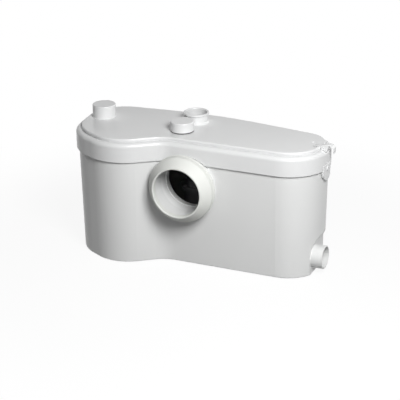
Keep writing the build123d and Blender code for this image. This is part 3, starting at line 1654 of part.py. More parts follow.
with BuildPart() as terminal_block:
    terminal_x = control_x + terminal_x_offset
    terminal_y = control_y + terminal_y_offset
    with BuildSketch(upright(terminal_x, terminal_y, control_floor_z)):
        Rectangle(terminal_length, terminal_width)
    extrude(amount=terminal_height)
    terminal_pitch = terminal_length / terminal_count
    with BuildSketch(upright(terminal_x, terminal_y, control_floor_z + terminal_height)):
        with GridLocations(terminal_pitch, terminal_width / 2, terminal_count, 2):
            Rectangle(terminal_well_width, terminal_well_width)
    extrude(amount=-terminal_well_depth, mode=Mode.SUBTRACT)
save("terminal_block", terminal_block)

# Microswitch on a bracket over the plunger, with its lever and button
with BuildPart() as switch_bracket:
    bracket_y = control_y + switch_width / 2
    with BuildSketch(upright(control_x, bracket_y + switch_bracket_thickness / 2, control_floor_z)):
        Rectangle(switch_length, switch_bracket_thickness)
    extrude(amount=switch_body_z + switch_height - control_floor_z)
    with BuildSketch(upright(control_x, bracket_y + switch_bracket_width / 2, control_floor_z)):
        Rectangle(switch_length, switch_bracket_width)
    extrude(amount=switch_bracket_thickness)
save("switch_bracket", switch_bracket)

with BuildPart() as microswitch:
    with BuildSketch(upright(control_x, control_y, switch_body_z)):
        Rectangle(switch_length, switch_width)
    extrude(amount=switch_height)
    # Arms that carry the lever's hinge
    hinge_x = control_x + switch_lever_pivot
    hinge_z = switch_lever_z + switch_lever_thickness / 2
    for side in (-1, 1):
        with BuildSketch(Plane.XZ.offset(-control_y - side * (switch_lever_width / 2 + slide_gap))):
            with Locations((hinge_x, (hinge_z + switch_body_z) / 2)):
                Rectangle(switch_lever_thickness * 3, switch_body_z - hinge_z + switch_lever_thickness * 3)
        extrude(amount=-side * switch_lever_thickness)
    with BuildSketch(Plane(origin=(hinge_x, control_y, hinge_z), x_dir=(1, 0, 0), z_dir=(0, 1, 0))):
        Circle(switch_pin_radius + running_gap)
    extrude(amount=switch_lever_width, both=True, mode=Mode.SUBTRACT)
    with BuildSketch(upright(control_x + switch_button_offset, control_y, switch_body_z)):
        Circle(switch_button_radius + running_gap)
    extrude(amount=switch_button_drop * 2, mode=Mode.SUBTRACT)
save("microswitch", microswitch)

with BuildPart() as switch_button:
    button_foot_z = switch_lever_z + switch_lever_thickness + running_gap
    with BuildSketch(upright(control_x + switch_button_offset, control_y, button_foot_z)):
        Circle(switch_button_radius)
    extrude(amount=switch_button_drop + switch_button_engagement)
save("switch_button", switch_button)

with BuildPart() as switch_lever:
    lever_length = switch_lever_reach - switch_lever_pivot
    with BuildSketch(upright(hinge_x + lever_length / 2, control_y, switch_lever_z)):
        Rectangle(lever_length, switch_lever_width)
    extrude(amount=switch_lever_thickness)
    # Barrel at the hinge, and the pin that turns in the arms
    with BuildSketch(Plane(origin=(hinge_x, control_y, hinge_z), x_dir=(1, 0, 0), z_dir=(0, 1, 0))):
        Circle(switch_lever_thickness)
    extrude(amount=switch_lever_width / 2, both=True)
    with BuildSketch(Plane(origin=(hinge_x, control_y, hinge_z), x_dir=(1, 0, 0), z_dir=(0, 1, 0))):
        Circle(switch_pin_radius)
    extrude(amount=switch_lever_width / 2 + slide_gap + switch_lever_thickness, both=True)
save("switch_lever", switch_lever)

# Cable gland: body through the tank's back wall, and its dome nut outside
gland_seat = wall_plane(gland_place).offset(-tank_inset(gland_z) - tank_wall - gland_seat_gap)
with BuildPart() as cable_gland:
    with BuildSketch(gland_seat):
        with Locations((0, gland_z)):
            Circle(gland_flange_radius)
            Circle(gland_body_bore, mode=Mode.SUBTRACT)
    extrude(amount=-gland_flange_thickness)
    with BuildSketch(gland_seat):
        with Locations((0, gland_z)):
            Circle(gland_hole_radius)
            Circle(gland_body_bore, mode=Mode.SUBTRACT)
    extrude(amount=tank_wall + gland_seat_gap * 2)
save("cable_gland", cable_gland)

with BuildPart() as gland_nut:
    nut_seat = gland_seat.offset(tank_wall + gland_seat_gap * 2)
    with BuildSketch(nut_seat):
        with Locations((0, gland_z)):
            RegularPolygon(gland_nut_width / 2, 6, major_radius=False)
            Circle(gland_bore, mode=Mode.SUBTRACT)
    extrude(amount=gland_nut_thickness)
    with BuildSketch(nut_seat.offset(gland_nut_thickness)):
        with Locations((0, gland_z)):
            Circle(gland_hole_radius)
    extrude(amount=gland_dome_length, taper=gland_dome_taper)
    with BuildSketch(nut_seat):
        with Locations((0, gland_z)):
            Circle(gland_bore)
    extrude(amount=gland_nut_thickness + gland_dome_length + overrun, mode=Mode.SUBTRACT)
save("gland_nut", gland_nut)
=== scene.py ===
import json
import math

import bmesh
import bpy
from bpy.props import FloatProperty, FloatVectorProperty, IntProperty, PointerProperty
from mathutils import Matrix, Vector


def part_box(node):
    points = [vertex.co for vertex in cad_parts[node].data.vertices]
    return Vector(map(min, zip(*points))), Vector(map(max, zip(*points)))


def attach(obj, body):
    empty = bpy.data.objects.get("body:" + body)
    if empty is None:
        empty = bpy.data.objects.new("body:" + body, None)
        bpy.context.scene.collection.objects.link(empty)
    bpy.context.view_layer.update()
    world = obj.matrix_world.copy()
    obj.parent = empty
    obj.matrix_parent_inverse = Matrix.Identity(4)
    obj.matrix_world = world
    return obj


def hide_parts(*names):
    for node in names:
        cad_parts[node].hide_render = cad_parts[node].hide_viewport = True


bl_info = {
    "name": "Macerator toilet pump",
    "version": (1, 0, 0),
    "blender": (4, 5, 0),
    "location": "3D View > Sidebar > Pump",
    "description": "Builds the looks of a macerator toilet pump round its packed construction model",
    "category": "Object",
}

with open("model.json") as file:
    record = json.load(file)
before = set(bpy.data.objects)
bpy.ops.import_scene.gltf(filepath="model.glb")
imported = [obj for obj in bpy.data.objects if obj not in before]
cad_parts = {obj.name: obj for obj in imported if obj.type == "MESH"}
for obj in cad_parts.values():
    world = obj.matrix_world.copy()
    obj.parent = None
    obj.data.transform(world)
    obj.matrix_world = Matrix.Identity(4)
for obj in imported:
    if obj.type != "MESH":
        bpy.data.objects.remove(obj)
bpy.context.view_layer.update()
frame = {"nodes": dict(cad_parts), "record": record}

# Which construction nodes take which finish
lid_nodes = ["lid", "vent_cap", "access_plug", "lid_studs"]
rubber_nodes = [
    "rubber_feet", "lid_gasket", "access_plug_ring", "discharge_seal", "motor_gland",
    "shaft_seal_ring", "valve_flap", "side_flap", "diaphragm",
]
grey_nodes = [
    "pump_volute", "volute_cover", "discharge_bend", "valve_body", "valve_top", "riser_pipe",
    "pressure_bell", "side_valve_seat", "impeller",
]
black_nodes = [
    "control_box", "control_cover", "cable_gland", "gland_nut", "microswitch", "plunger",
    "terminal_block", "switch_button",
]
motor_nodes = ["motor_housing", "motor_base"]
steel_nodes = [
    "cutting_ring", "cutter_blades", "cutter_nut", "motor_shaft", "hose_clips", "valve_pin",
    "side_flap_pin", "switch_bracket", "switch_lever", "bearing_outer_rings", "bearing_inner_rings",
]
iron_nodes = ["stator_core", "rotor_core"]
screw_nodes = [
    "pump_screws", "base_screws", "motor_screws", "valve_screws", "control_screws", "bell_screws",
]
# Screws put in from below, so that their heads point down
low_screw_nodes = ["bell_screws"]

# What the camera and the lamps face
target = Vector((-0.01106, -0.00117, 0.120))


class PumpSizes(bpy.types.PropertyGroup):
    sleeve_lip: FloatProperty(
        name="Sleeve lip round", description="Rounding of the toilet sleeve's mouth",
        default=0.0014, subtype="DISTANCE", unit="LENGTH")
    sleeve_shoulder: FloatProperty(
        name="Sleeve shoulder round", description="Rounding where the sleeve's band meets its cone",
        default=0.0035, subtype="DISTANCE", unit="LENGTH")
    sleeve_steps: IntProperty(
        name="Sleeve segments", description="Segments round the toilet sleeve", default=160, min=24)
    screw_head_height: FloatProperty(
        name="Screw head height", description="Height of each hex head with its washer",
        default=0.0026, subtype="DISTANCE", unit="LENGTH")
    screw_shank: FloatProperty(
        name="Screw shank radius", description="Radius of each screw's shank",
        default=0.002, subtype="DISTANCE", unit="LENGTH")
    screw_drive: FloatProperty(
        name="Screw recess depth", description="Depth of the cross recess in each screw",
        default=0.0011, subtype="DISTANCE", unit="LENGTH")
    neck_bead: FloatProperty(
        name="Neck bead", description="Height of the bead inside the toilet neck",
        default=0.0015, subtype="DISTANCE", unit="LENGTH")
    # The plug seal is a black rubber ring, part real seal and part painted shade for the dark gap under the
    # access plug
    plug_seal_and_shade: FloatProperty(
        name="Plug seal width", description="Width of the black seal that shows under the access plug",
        default=0.0019, subtype="DISTANCE", unit="LENGTH")
    collar_rim: FloatProperty(
        name="Collar rim overhang", description="How far the discharge collar's rolled rim stands out",
        default=0.0022, subtype="DISTANCE", unit="LENGTH")
    camera_distance: FloatProperty(
        name="Camera distance", description="From the camera to the point it looks at",
        default=2.6414, subtype="DISTANCE", unit="LENGTH")
    camera_lens: FloatProperty(
        name="Camera lens", description="Focal length in millimetres", default=126.17)


class PumpColours(bpy.types.PropertyGroup):
    shell: FloatVectorProperty(
        name="Shell", description="Moulded white shell", subtype="COLOR", default=(0.72, 0.725, 0.72))
    lid: FloatVectorProperty(
        name="Lid", description="Moulded white lid", subtype="COLOR", default=(0.72, 0.725, 0.725))
    sleeve: FloatVectorProperty(
        name="Sleeve", description="Cream rubber sleeve", subtype="COLOR", default=(0.71, 0.72, 0.69))
    black: FloatVectorProperty(
        name="Black plastic", description="Switch box and gland", subtype="COLOR",
        default=(0.03, 0.03, 0.032))
    rubber: FloatVectorProperty(
        name="Black rubber", description="Feet, gasket, seals and flaps", subtype="COLOR",
        default=(0.02, 0.02, 0.021))
    grey: FloatVectorProperty(
        name="Grey plastic", description="Pump casing and pipes", subtype="COLOR",
        default=(0.28, 0.285, 0.295))
    motor: FloatVectorProperty(
        name="Motor paint", description="Painted motor can", subtype="COLOR", default=(0.2, 0.205, 0.215))
    hook: FloatVectorProperty(
        name="Hook", description="Moulded hook at the lid's right end", subtype="COLOR",
        default=(0.74, 0.745, 0.745))
    floor: FloatVectorProperty(
        name="Floor", description="Studio floor as it is seen", subtype="COLOR", default=(0.92, 0.92, 0.92))
    floor_bounce: FloatVectorProperty(
        name="Floor bounce", description="Light that the floor gives back", subtype="COLOR",
        default=(0.2, 0.2, 0.2))


def object_noise(tree, scale, detail):
    """Noise over the surface, read in the object's own coordinates."""
    where = tree.nodes.new("ShaderNodeTexCoord")
    noise = tree.nodes.new("ShaderNodeTexNoise")
    noise.inputs["Scale"].default_value = scale
    noise.inputs["Detail"].default_value = detail
    tree.links.new(where.outputs["Object"], noise.inputs["Vector"])
    return noise.outputs["Fac"]


def add_grain(tree, shader, scale, strength):
    """A fine grain over the surface."""
    grain_depth = 0.0004
    bump = tree.nodes.new("ShaderNodeBump")
    bump.inputs["Strength"].default_value = strength
    bump.inputs["Distance"].default_value = grain_depth
    tree.links.new(object_noise(tree, scale, 3.0), bump.inputs["Height"])
    tree.links.new(bump.outputs["Normal"], shader.inputs["Normal"])


def let_tone_drift(tree, shader, colour, amount):
    """Let the colour drift a little over the piece."""
    drift_scale = 14.0
    ramp = tree.nodes.new("ShaderNodeValToRGB")
    dark, light = ramp.color_ramp.elements
    dark.position, light.position = 0.3, 0.7
    dark.color = [c * (1 - amount) for c in colour] + [1]
    light.color = [min(1, c * (1 + amount)) for c in colour] + [1]
    tree.links.new(object_noise(tree, drift_scale, 2.0), ramp.inputs["Fac"])
    tree.links.new(ramp.outputs["Color"], shader.inputs["Base Color"])


def finish(name, colour, roughness, metallic=0.0, coat=0.0, grain=(900.0, 0.15), drift=0.02, specular=0.5):
    """A principled finish with grain and a slight drift of tone, made once for each name."""
    existing = bpy.data.materials.get(name)
    if existing:
        return existing
    material = bpy.data.materials.new(name)
    material.use_nodes = True
    shader = material.node_tree.nodes["Principled BSDF"]
    shader.inputs["Base Color"].default_value = (*colour, 1)
    shader.inputs["Roughness"].default_value = roughness
    shader.inputs["Metallic"].default_value = metallic
    shader.inputs["Coat Weight"].default_value = coat
    shader.inputs["Coat Roughness"].default_value = 0.25
    shader.inputs["Specular IOR Level"].default_value = specular
    let_tone_drift(material.node_tree, shader, colour, drift)
    if grain:
        add_grain(material.node_tree, shader, *grain)
    return material


def shell_white(colours):
    """The tank's moulded white."""
    return finish("shell white", colours.shell, 0.34, coat=0.15, grain=(1400.0, 0.05), drift=0.008)


def lid_white(colours):
    """The lid's smoother moulded white."""
    return finish("lid white", colours.lid, 0.28, coat=0.2, grain=(1600.0, 0.04), drift=0.008)


def black_rubber(colours):
    """The dull rubber of feet, seals and flaps."""
    return finish("black rubber", colours.rubber, 0.7, grain=(500.0, 0.25), drift=0.1, specular=0.3)


def paint(node_name, material):
    """Give a construction node its finish."""
    node = frame["nodes"].get(node_name)
    if node is None:
        raise RuntimeError("no construction node called " + node_name)
    node.data.materials.clear()
    node.data.materials.append(material)


def add_piece(name, mesh, material, body, replaced=()):
    """Link a finished mesh as a piece that rides on a body and stands for construction nodes."""
    piece = bpy.data.objects.new(name, mesh)
    bpy.context.scene.collection.objects.link(piece)
    mesh.materials.clear()
    mesh.materials.append(material)
    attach(piece, body)
    if replaced:
        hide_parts(*replaced)


def node_middle(name):
    """The middle of a construction node's box."""
    low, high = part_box(name)
    return [(a + b) / 2 for a, b in zip(low, high)]


def body_of_node(name):
    """The body that a construction node rides."""
    for body, members in frame["record"]["behaviour"]["bodies"].items():
        if name in members:
            return body
    raise RuntimeError("no body carries " + name)


def rounded(corners, steps=6):
    """A profile from corners of (along, radius, rounding); a rounding of zero keeps the corner."""
    points = [Vector(corner[:2]) for corner in corners]
    longest_share = 0.49
    result = []
    for index, here in enumerate(points):
        rounding = corners[index][2]
        if rounding <= 0:
            result.append(here)
            continue
        before = points[index - 1] - here
        after = points[(index + 1) % len(points)] - here
        half = before.angle(after) / 2
        reach = min(rounding / math.tan(half), before.length * longest_share, after.length * longest_share)
        start = here + before.normalized() * reach
        end = here + after.normalized() * reach
        for step in range(steps + 1):
            t = step / steps
            result.append(start.lerp(here, t).lerp(here.lerp(end, t), t))
    return result


def placed_mesh(name, shape, place, sharp):
    """Keep a working shape as a smooth mesh in its place, crisp where it turns by more than sharp degrees."""
    for face in shape.faces:
        face.smooth = True
    shape.transform(place)
    mesh = bpy.data.meshes.new(name)
    shape.to_mesh(mesh)
    shape.free()
    mesh.set_sharp_from_angle(angle=math.radians(sharp))
    return mesh


def turned_mesh(name, corners, segments, place):
    """Turn a closed profile of rounded corners about the local Z axis, then place it."""
    profile = rounded(corners)
    shape = bmesh.new()
    rings = []
    for step in range(segments):
        angle = step * math.tau / segments
        rings.append([
            shape.verts.new((radius * math.cos(angle), radius * math.sin(angle), along))
            for along, radius in profile
        ])
    count = len(profile)
    for step in range(segments):
        ring, following = rings[step], rings[(step + 1) % segments]
        for index in range(count):
            after = (index + 1) % count
            shape.faces.new((ring[index], following[index], following[after], ring[after]))
    bmesh.ops.recalc_face_normals(shape, faces=shape.faces)
    return placed_mesh(name, shape, place, sharp=38)


def slab_mesh(name, outline, width, bevel, place):
    """An upright slab from an outline of (along X, up Z), with its side edges rounded."""
    shape = bmesh.new()
    face = shape.faces.new([shape.verts.new((x, 0, z)) for x, z in outline])
    extruded = bmesh.ops.extrude_face_region(shape, geom=[face])
    moved = [item for item in extruded["geom"] if isinstance(item, bmesh.types.BMVert)]
    bmesh.ops.translate(shape, verts=moved, vec=(0, width, 0))
    bmesh.ops.recalc_face_normals(shape, faces=shape.faces)
    sides = [edge for edge in shape.edges if abs(edge.verts[0].co.y - edge.verts[1].co.y) < width / 2]
    bmesh.ops.bevel(shape, geom=sides, offset=bevel, segments=3, affect="EDGES", profile=0.5)
    return placed_mesh(name, shape, place, sharp=30)


def facing_front(x, y, z):
    """A place whose local Z axis points out of the pump's front."""
    return Matrix.Translation((x, y, z)) @ Matrix.Rotation(math.radians(90), 4, "X")


class PUMP_OT_shell(bpy.types.Operator):
    """Finish the moulded tank, lid, vent cap, access plug and lid buttons"""
    bl_idname = "pump.shell"
    bl_label = "Shell"

    def execute(self, context):
        colours = context.scene.pump_colours
        paint("tank", shell_white(colours))
        for name in lid_nodes:
            paint(name, lid_white(colours))
        return {"FINISHED"}


class PUMP_OT_sleeve(bpy.types.Operator):
    """Make the rubber toilet sleeve with its rolled lip, and the bead in the neck behind it"""
    bl_idname = "pump.sleeve"
    bl_label = "Toilet sleeve"

    def execute(self, context):
        sizes, colours = context.scene.pump_sizes, context.scene.pump_colours
        low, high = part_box("inlet_sleeve")
        middle_x, unused, middle_z = node_middle("inlet_sleeve")
        back = high[1]
        depth = back - low[1]
        rim = (high[2] - low[2]) / 2
        band = rim - 0.0008
        grip = rim - 0.0076
        mouth = 0.0490
        throat = 0.0454
        cone_root = 0.0515
        grip_depth = 0.0150
        rim_width = 0.0040
        band_width = 0.0136
        lip = sizes.sleeve_lip
        # Distances run forward from the sleeve's back edge
        corners = [
            (0, grip, 0.0004), (0, rim, 0.0006), (rim_width, rim, 0.0004), (rim_width, band, 0.0006),
            (band_width, band, sizes.sleeve_shoulder), (depth - 0.0008, mouth, lip),
            (depth, mouth - 0.0007, 0.0005), (depth, throat + 0.0010, 0.0005),
            (depth - 0.0012, throat, lip), (depth - 0.0112, throat, 0.0020),
            (grip_depth, cone_root, 0.0008), (grip_depth, grip, 0.0004),
        ]
        place = facing_front(middle_x, back, middle_z)
        mesh = turned_mesh("toilet_sleeve", corners, sizes.sleeve_steps, place)
        rubber = finish("cream rubber", colours.sleeve, 0.55, grain=(700.0, 0.12), drift=0.012, specular=0.35)
        add_piece("toilet_sleeve", mesh, rubber, "tank_body", ["inlet_sleeve"])

        # A fine bead in the neck, where its cone ends
        neck_bore = 0.04847
        bead_y = -0.0410
        bead = sizes.neck_bead
        corners = [
            (0, neck_bore, 0), (0, neck_bore - bead, bead / 2), (bead, neck_bore - bead, bead / 2),
            (bead, neck_bore, 0),
        ]
        place = facing_front(middle_x, bead_y, middle_z)
        mesh = turned_mesh("neck_bead", corners, sizes.sleeve_steps, place)
        add_piece("neck_bead", mesh, shell_white(colours), "tank_body")
        return {"FINISHED"}


def hook_outline(run, strap):
    """The moulded hook from its side, out from the lid's end and up from the plate.

    It starts with a flat run of strap on the plate, arches out to the tip and comes back along a web.
    """
    arch = [
        (-0.0098, 0.0013), (-0.0065, 0.0023), (-0.0030, 0.0034), (0.0008, 0.0042), (0.0045, 0.0043),
        (0.0081, 0.0036), (0.0108, 0.0019), (0.0125, -0.0005), (0.0131, -0.0028), (0.0131, -0.0102),
    ]
    web = [
        (0.0034, 0.0018), (0.0020, -0.0008), (0.0008, -0.0050), (-0.0002, -0.0092), (-0.0012, -0.0094),
        (-0.0027, -0.0078), (-0.0039, -0.0070), (-0.0059, -0.0061), (-0.0087, -0.0059),
        (-0.0089, -0.0070), (-0.0104, -0.0070), (-0.0104, -0.0028), (-0.0113, -0.0008),
        (-0.0136, 0.00015),
    ]
    web_joins = 4
    outside, inside = [], []
    for index, point in enumerate(arch):
        before = Vector(arch[max(index - 1, 0)])
        after = Vector(arch[min(index + 1, len(arch) - 1)])
        across = (after - before).normalized()
        normal = Vector((-across.y, across.x)) * strap / 2
        outside.append(tuple(Vector(point) + normal))
        inside.append(tuple(Vector(point) - normal))
    start = [(-run, 0.0002), (-run / 2, strap * 0.8)]
    return [*start, *outside, *reversed(inside[web_joins:]), *web, (-run, 0.0)]


class PUMP_OT_lid_trim(bpy.types.Operator):
    """Make the collar's rolled rim, the black seal under the access plug, which also stands in as painted
    shade for the gap there, and the moulded hook
    """
    bl_idname = "pump.lid_trim"
    bl_label = "Lid trim"

    def execute(self, context):
        sizes, colours = context.scene.pump_sizes, context.scene.pump_colours
        lid = lid_white(colours)
        ring_steps = 96

        # Heights run down from the collar's top
        collar_x, collar_y, unused = node_middle("discharge_seal")
        collar_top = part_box("lid")[1][2]
        wall, bore = 0.0224, 0.02015
        out = wall + sizes.collar_rim
        corners = [
            (-0.0046, wall - 0.0001, 0), (-0.0044, out - 0.0007, 0.0006), (-0.0024, out, 0.0012),
            (-0.0004, out - 0.0003, 0.0012), (0.0002, wall, 0.0010), (-0.0003, 0.0208, 0.0006),
            (-0.0014, bore, 0), (-0.0024, bore, 0),
        ]
        place = Matrix.Translation((collar_x, collar_y, collar_top))
        add_piece("collar_rim", turned_mesh("collar_rim", corners, ring_steps, place), lid, "lid_body")

        # Heights run up from the plate
        # A black rubber ring under the plug's lip: part real seal, part painted shade for the dark gap under
        # the plug
        plug_x, plug_y, unused = node_middle("access_plug_ring")
        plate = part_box("vent_cap")[0][2]
        inner = 0.02005
        outer = inner + sizes.plug_seal_and_shade
        foot, crown = 0.00015, 0.00195
        corners = [(foot, inner, 0), (foot, outer, 0.0004), (crown, outer, 0), (crown, inner, 0)]
        place = Matrix.Translation((plug_x, plug_y, plate))
        mesh = turned_mesh("plug_seal_and_shade", corners, ring_steps, place)
        add_piece("plug_seal_and_shade", mesh, black_rubber(colours), "access_plug_body")

        low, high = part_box("cable_hook")
        run, strap, edge_round = 0.0260, 0.0016, 0.0004
        place = Matrix.Translation((low[0] + run, low[1], plate))
        mesh = slab_mesh("cable_hook", hook_outline(run, strap), high[1] - low[1], edge_round, place)
        white = finish("hook white", colours.hook, 0.3, coat=0.2, grain=None, drift=0.008)
        add_piece("moulded_hook", mesh, white, "lid_body", ["cable_hook"])
        return {"FINISHED"}


class PUMP_OT_rubber(bpy.types.Operator):
    """Finish the feet, gasket, seals and flaps"""
    bl_idname = "pump.rubber"
    bl_label = "Rubber parts"

    def execute(self, context):
        for name in rubber_nodes:
            paint(name, black_rubber(context.scene.pump_colours))
        return {"FINISHED"}


class PUMP_OT_plastics(bpy.types.Operator):
    """Finish the grey casing and pipes, the black switch box and the painted motor"""
    bl_idname = "pump.plastics"
    bl_label = "Inner plastics"

    def execute(self, context):
        colours = context.scene.pump_colours
        grey = finish("grey casing", colours.grey, 0.45, grain=(800.0, 0.15), drift=0.04)
        black = finish("black plastic", colours.black, 0.42, grain=(900.0, 0.15), drift=0.06)
        motor = finish("motor paint", colours.motor, 0.38, coat=0.3, grain=(300.0, 0.1), drift=0.05)
        for names, material in ((grey_nodes, grey), (black_nodes, black), (motor_nodes, motor)):
            for name in names:
                paint(name, material)
        return {"FINISHED"}


class PUMP_OT_metals(bpy.types.Operator):
    """Finish the cutter, shaft, clips and windings, with the ceramic seat, capacitor and filter"""
    bl_idname = "pump.metals"
    bl_label = "Metal parts"

    def execute(self, context):
        steel = finish("steel", (0.62, 0.62, 0.64), 0.3, metallic=1.0, grain=(600.0, 0.1), drift=0.05)
        for name in steel_nodes:
            paint(name, steel)
        iron = finish(
            "laminated iron", (0.24, 0.25, 0.27), 0.45, metallic=0.8, grain=(1200.0, 0.3), drift=0.06)
        for name in iron_nodes:
            paint(name, iron)
        wire = finish("varnished wire", (0.42, 0.16, 0.06), 0.35, metallic=0.6, drift=0.1)
        paint("stator_windings", wire)
        paint("shaft_seal_seat", finish("ceramic", (0.72, 0.70, 0.66), 0.25, drift=0.02))
        paint("capacitor", finish("drawn can", (0.7, 0.7, 0.72), 0.35, metallic=1.0, drift=0.04))
        felt = finish("carbon felt", (0.025, 0.025, 0.026), 0.95, grain=(260.0, 0.9), drift=0.3)
        paint("vent_filter", felt)
        return {"FINISHED"}


def seen_rays(nodes, links):
    """One where a camera, glossy or transmission ray meets the surface, so that it shows as background."""
    path = nodes.new("ShaderNodeLightPath")
    first = nodes.new("ShaderNodeMath")
    second = nodes.new("ShaderNodeMath")
    first.operation = second.operation = "MAXIMUM"
    links.new(path.outputs["Is Camera Ray"], first.inputs[0])
    links.new(path.outputs["Is Glossy Ray"], first.inputs[1])
    links.new(first.outputs["Value"], second.inputs[0])
    links.new(path.outputs["Is Transmission Ray"], second.inputs[1])
    return second.outputs["Value"]


def floor_material(colours):
    """A floor that is seen as white, keeps a faint shadow near the pump and gives back little light."""
    material = bpy.data.materials.new("studio floor")
    material.use_nodes = True
    nodes, links = material.node_tree.nodes, material.node_tree.links
    nodes.clear()
    seen = seen_rays(nodes, links)
    tone = nodes.new("ShaderNodeMix")
    tone.data_type = "RGBA"
    tone.inputs["A"].default_value = (*colours.floor_bounce, 1)
    tone.inputs["B"].default_value = (*colours.floor, 1)
    ground = nodes.new("ShaderNodeBsdfDiffuse")
    white = nodes.new("ShaderNodeEmission")
    white.inputs["Color"].default_value = (1, 1, 1, 1)
    white.inputs["Strength"].default_value = 1.0
    # The share of plain white rises from the shadow's zone to the far floor
    where = nodes.new("ShaderNodeTexCoord")
    away = nodes.new("ShaderNodeVectorMath")
    away.operation = "LENGTH"
    rise = nodes.new("ShaderNodeMapRange")
    rise.interpolation_type = "SMOOTHSTEP"
    rise.inputs["From Min"].default_value = 0.35
    rise.inputs["From Max"].default_value = 0.75
    rise.inputs["To Min"].default_value = 0.92
    rise.inputs["To Max"].default_value = 1.0
    share = nodes.new("ShaderNodeMath")
    share.operation = "MULTIPLY"
    mix = nodes.new("ShaderNodeMixShader")
    output = nodes.new("ShaderNodeOutputMaterial")
    links.new(where.outputs["Object"], away.inputs[0])
    links.new(away.outputs["Value"], rise.inputs["Value"])
    links.new(seen, share.inputs[0])
    links.new(rise.outputs["Result"], share.inputs[1])
    links.new(seen, tone.inputs["Factor"])
    links.new(tone.outputs["Result"], ground.inputs["Color"])
    links.new(share.outputs["Value"], mix.inputs["Fac"])
    links.new(ground.outputs["BSDF"], mix.inputs[1])
    links.new(white.outputs["Emission"], mix.inputs[2])
    links.new(mix.outputs["Shader"], output.inputs["Surface"])
    return material


def add_floor(scene, colours):
    """A wide level floor under the pump."""
    reach = 6.0
    corners = [(-reach, -reach, 0), (reach, -reach, 0), (reach, reach, 0), (-reach, reach, 0)]
    mesh = bpy.data.meshes.new("floor")
    mesh.from_pydata(corners, [], [(0, 1, 2, 3)])
    mesh.materials.append(floor_material(colours))
    floor = bpy.data.objects.new("floor", mesh)
    scene.collection.objects.link(floor)


def add_world(scene):
    """A world that is seen as white and lights the pump only faintly."""
    world = bpy.data.worlds.new("studio")
    scene.world = world
    world.use_nodes = True
    nodes, links = world.node_tree.nodes, world.node_tree.links
    nodes.clear()
    output = nodes.new("ShaderNodeOutputWorld")
    mix = nodes.new("ShaderNodeMixShader")
    links.new(seen_rays(nodes, links), mix.inputs["Fac"])
    for socket, strength in ((1, 0.045), (2, 1.0)):
        light = nodes.new("ShaderNodeBackground")
        light.inputs["Color"].default_value = (1, 1, 1, 1)
        light.inputs["Strength"].default_value = strength
        links.new(light.outputs["Background"], mix.inputs[socket])
    links.new(mix.outputs["Shader"], output.inputs["Surface"])


def outward(azimuth, elevation):
    """The way out from the target; azimuth turns from the front towards the right, both in degrees."""
    az, el = math.radians(azimuth), math.radians(elevation)
    return Vector((math.sin(az) * math.cos(el), -math.cos(az) * math.cos(el), math.sin(el)))


def add_lamp(scene, name, azimuth, elevation, distance, size, power):
    """A square soft lamp that faces the target."""
    toward = outward(azimuth, elevation)
    data = bpy.data.lights.new(name, "AREA")
    data.shape = "SQUARE"
    data.size = size
    data.energy = power
    lamp = bpy.data.objects.new(name, data)
    scene.collection.objects.link(lamp)
    lamp.location = target + toward * distance
    lamp.rotation_euler = (-toward).to_track_quat("-Z", "Y").to_euler()


def add_camera(scene, sizes):
    """The photograph's camera, a little to the right and above."""
    azimuth, elevation, roll = 23.689, 22.142, math.radians(-0.648)
    toward = outward(azimuth, elevation)
    right = (-toward).cross(Vector((0, 0, 1))).normalized()
    up = right.cross(-toward)
    across = right * math.cos(roll) + up * math.sin(roll)
    above = up * math.cos(roll) - right * math.sin(roll)
    data = bpy.data.cameras.new("camera")
    data.lens = sizes.camera_lens
    data.sensor_width = 36.0
    data.sensor_fit = "HORIZONTAL"
    data.shift_x = 0.00265
    data.shift_y = -0.0123
    data.clip_start = 0.05
    data.clip_end = 50.0
    camera = bpy.data.objects.new("camera", data)
    scene.collection.objects.link(camera)
    eye = target + toward * sizes.camera_distance
    turn = Matrix((across, above, toward)).transposed()
    camera.matrix_world = Matrix.Translation(eye) @ turn.to_4x4()
    scene.camera = camera


class PUMP_OT_stage(bpy.types.Operator):
    """Set the floor, the world, the soft studio lamps and the camera"""
    bl_idname = "pump.stage"
    bl_label = "Stage"

    def execute(self, context):
        scene = context.scene
        add_floor(scene, scene.pump_colours)
        add_world(scene)
        add_lamp(scene, "key", azimuth=41.0, elevation=38.0, distance=1.5, size=0.48, power=23.2)
        add_lamp(scene, "fill", azimuth=5.0, elevation=35.0, distance=2.4, size=1.2, power=2.0)
        add_lamp(scene, "back", azimuth=150.0, elevation=14.0, distance=3.0, size=1.6, power=14.0)
        add_camera(scene, scene.pump_sizes)
        scene.view_settings.view_transform = "Standard"
        return {"FINISHED"}


def loose_boxes(node_name):
    """The box of each separate solid in a construction node, in the shared frame."""
    merge_distance = 1e-6
    shape = bmesh.new()
    shape.from_mesh(frame["nodes"][node_name].data)
    shape.transform(frame["nodes"][node_name].matrix_world)
    bmesh.ops.remove_doubles(shape, verts=shape.verts, dist=merge_distance)
    left = set(shape.verts)
    boxes = []
    while left:
        edge = [left.pop()]
        found = []
        while edge:
            vert = edge.pop()
            found.append(vert.co.copy())
            for link in vert.link_edges:
                other = link.other_vert(vert)
                if other in left:
                    left.remove(other)
                    edge.append(other)
        low = Vector([min(point[i] for point in found) for i in range(3)])
        high = Vector([max(point[i] for point in found) for i in range(3)])
        boxes.append((low, high))
    shape.free()
    return sorted(boxes, key=lambda box: (round(box[0].x, 4), round(box[0].y, 4)))


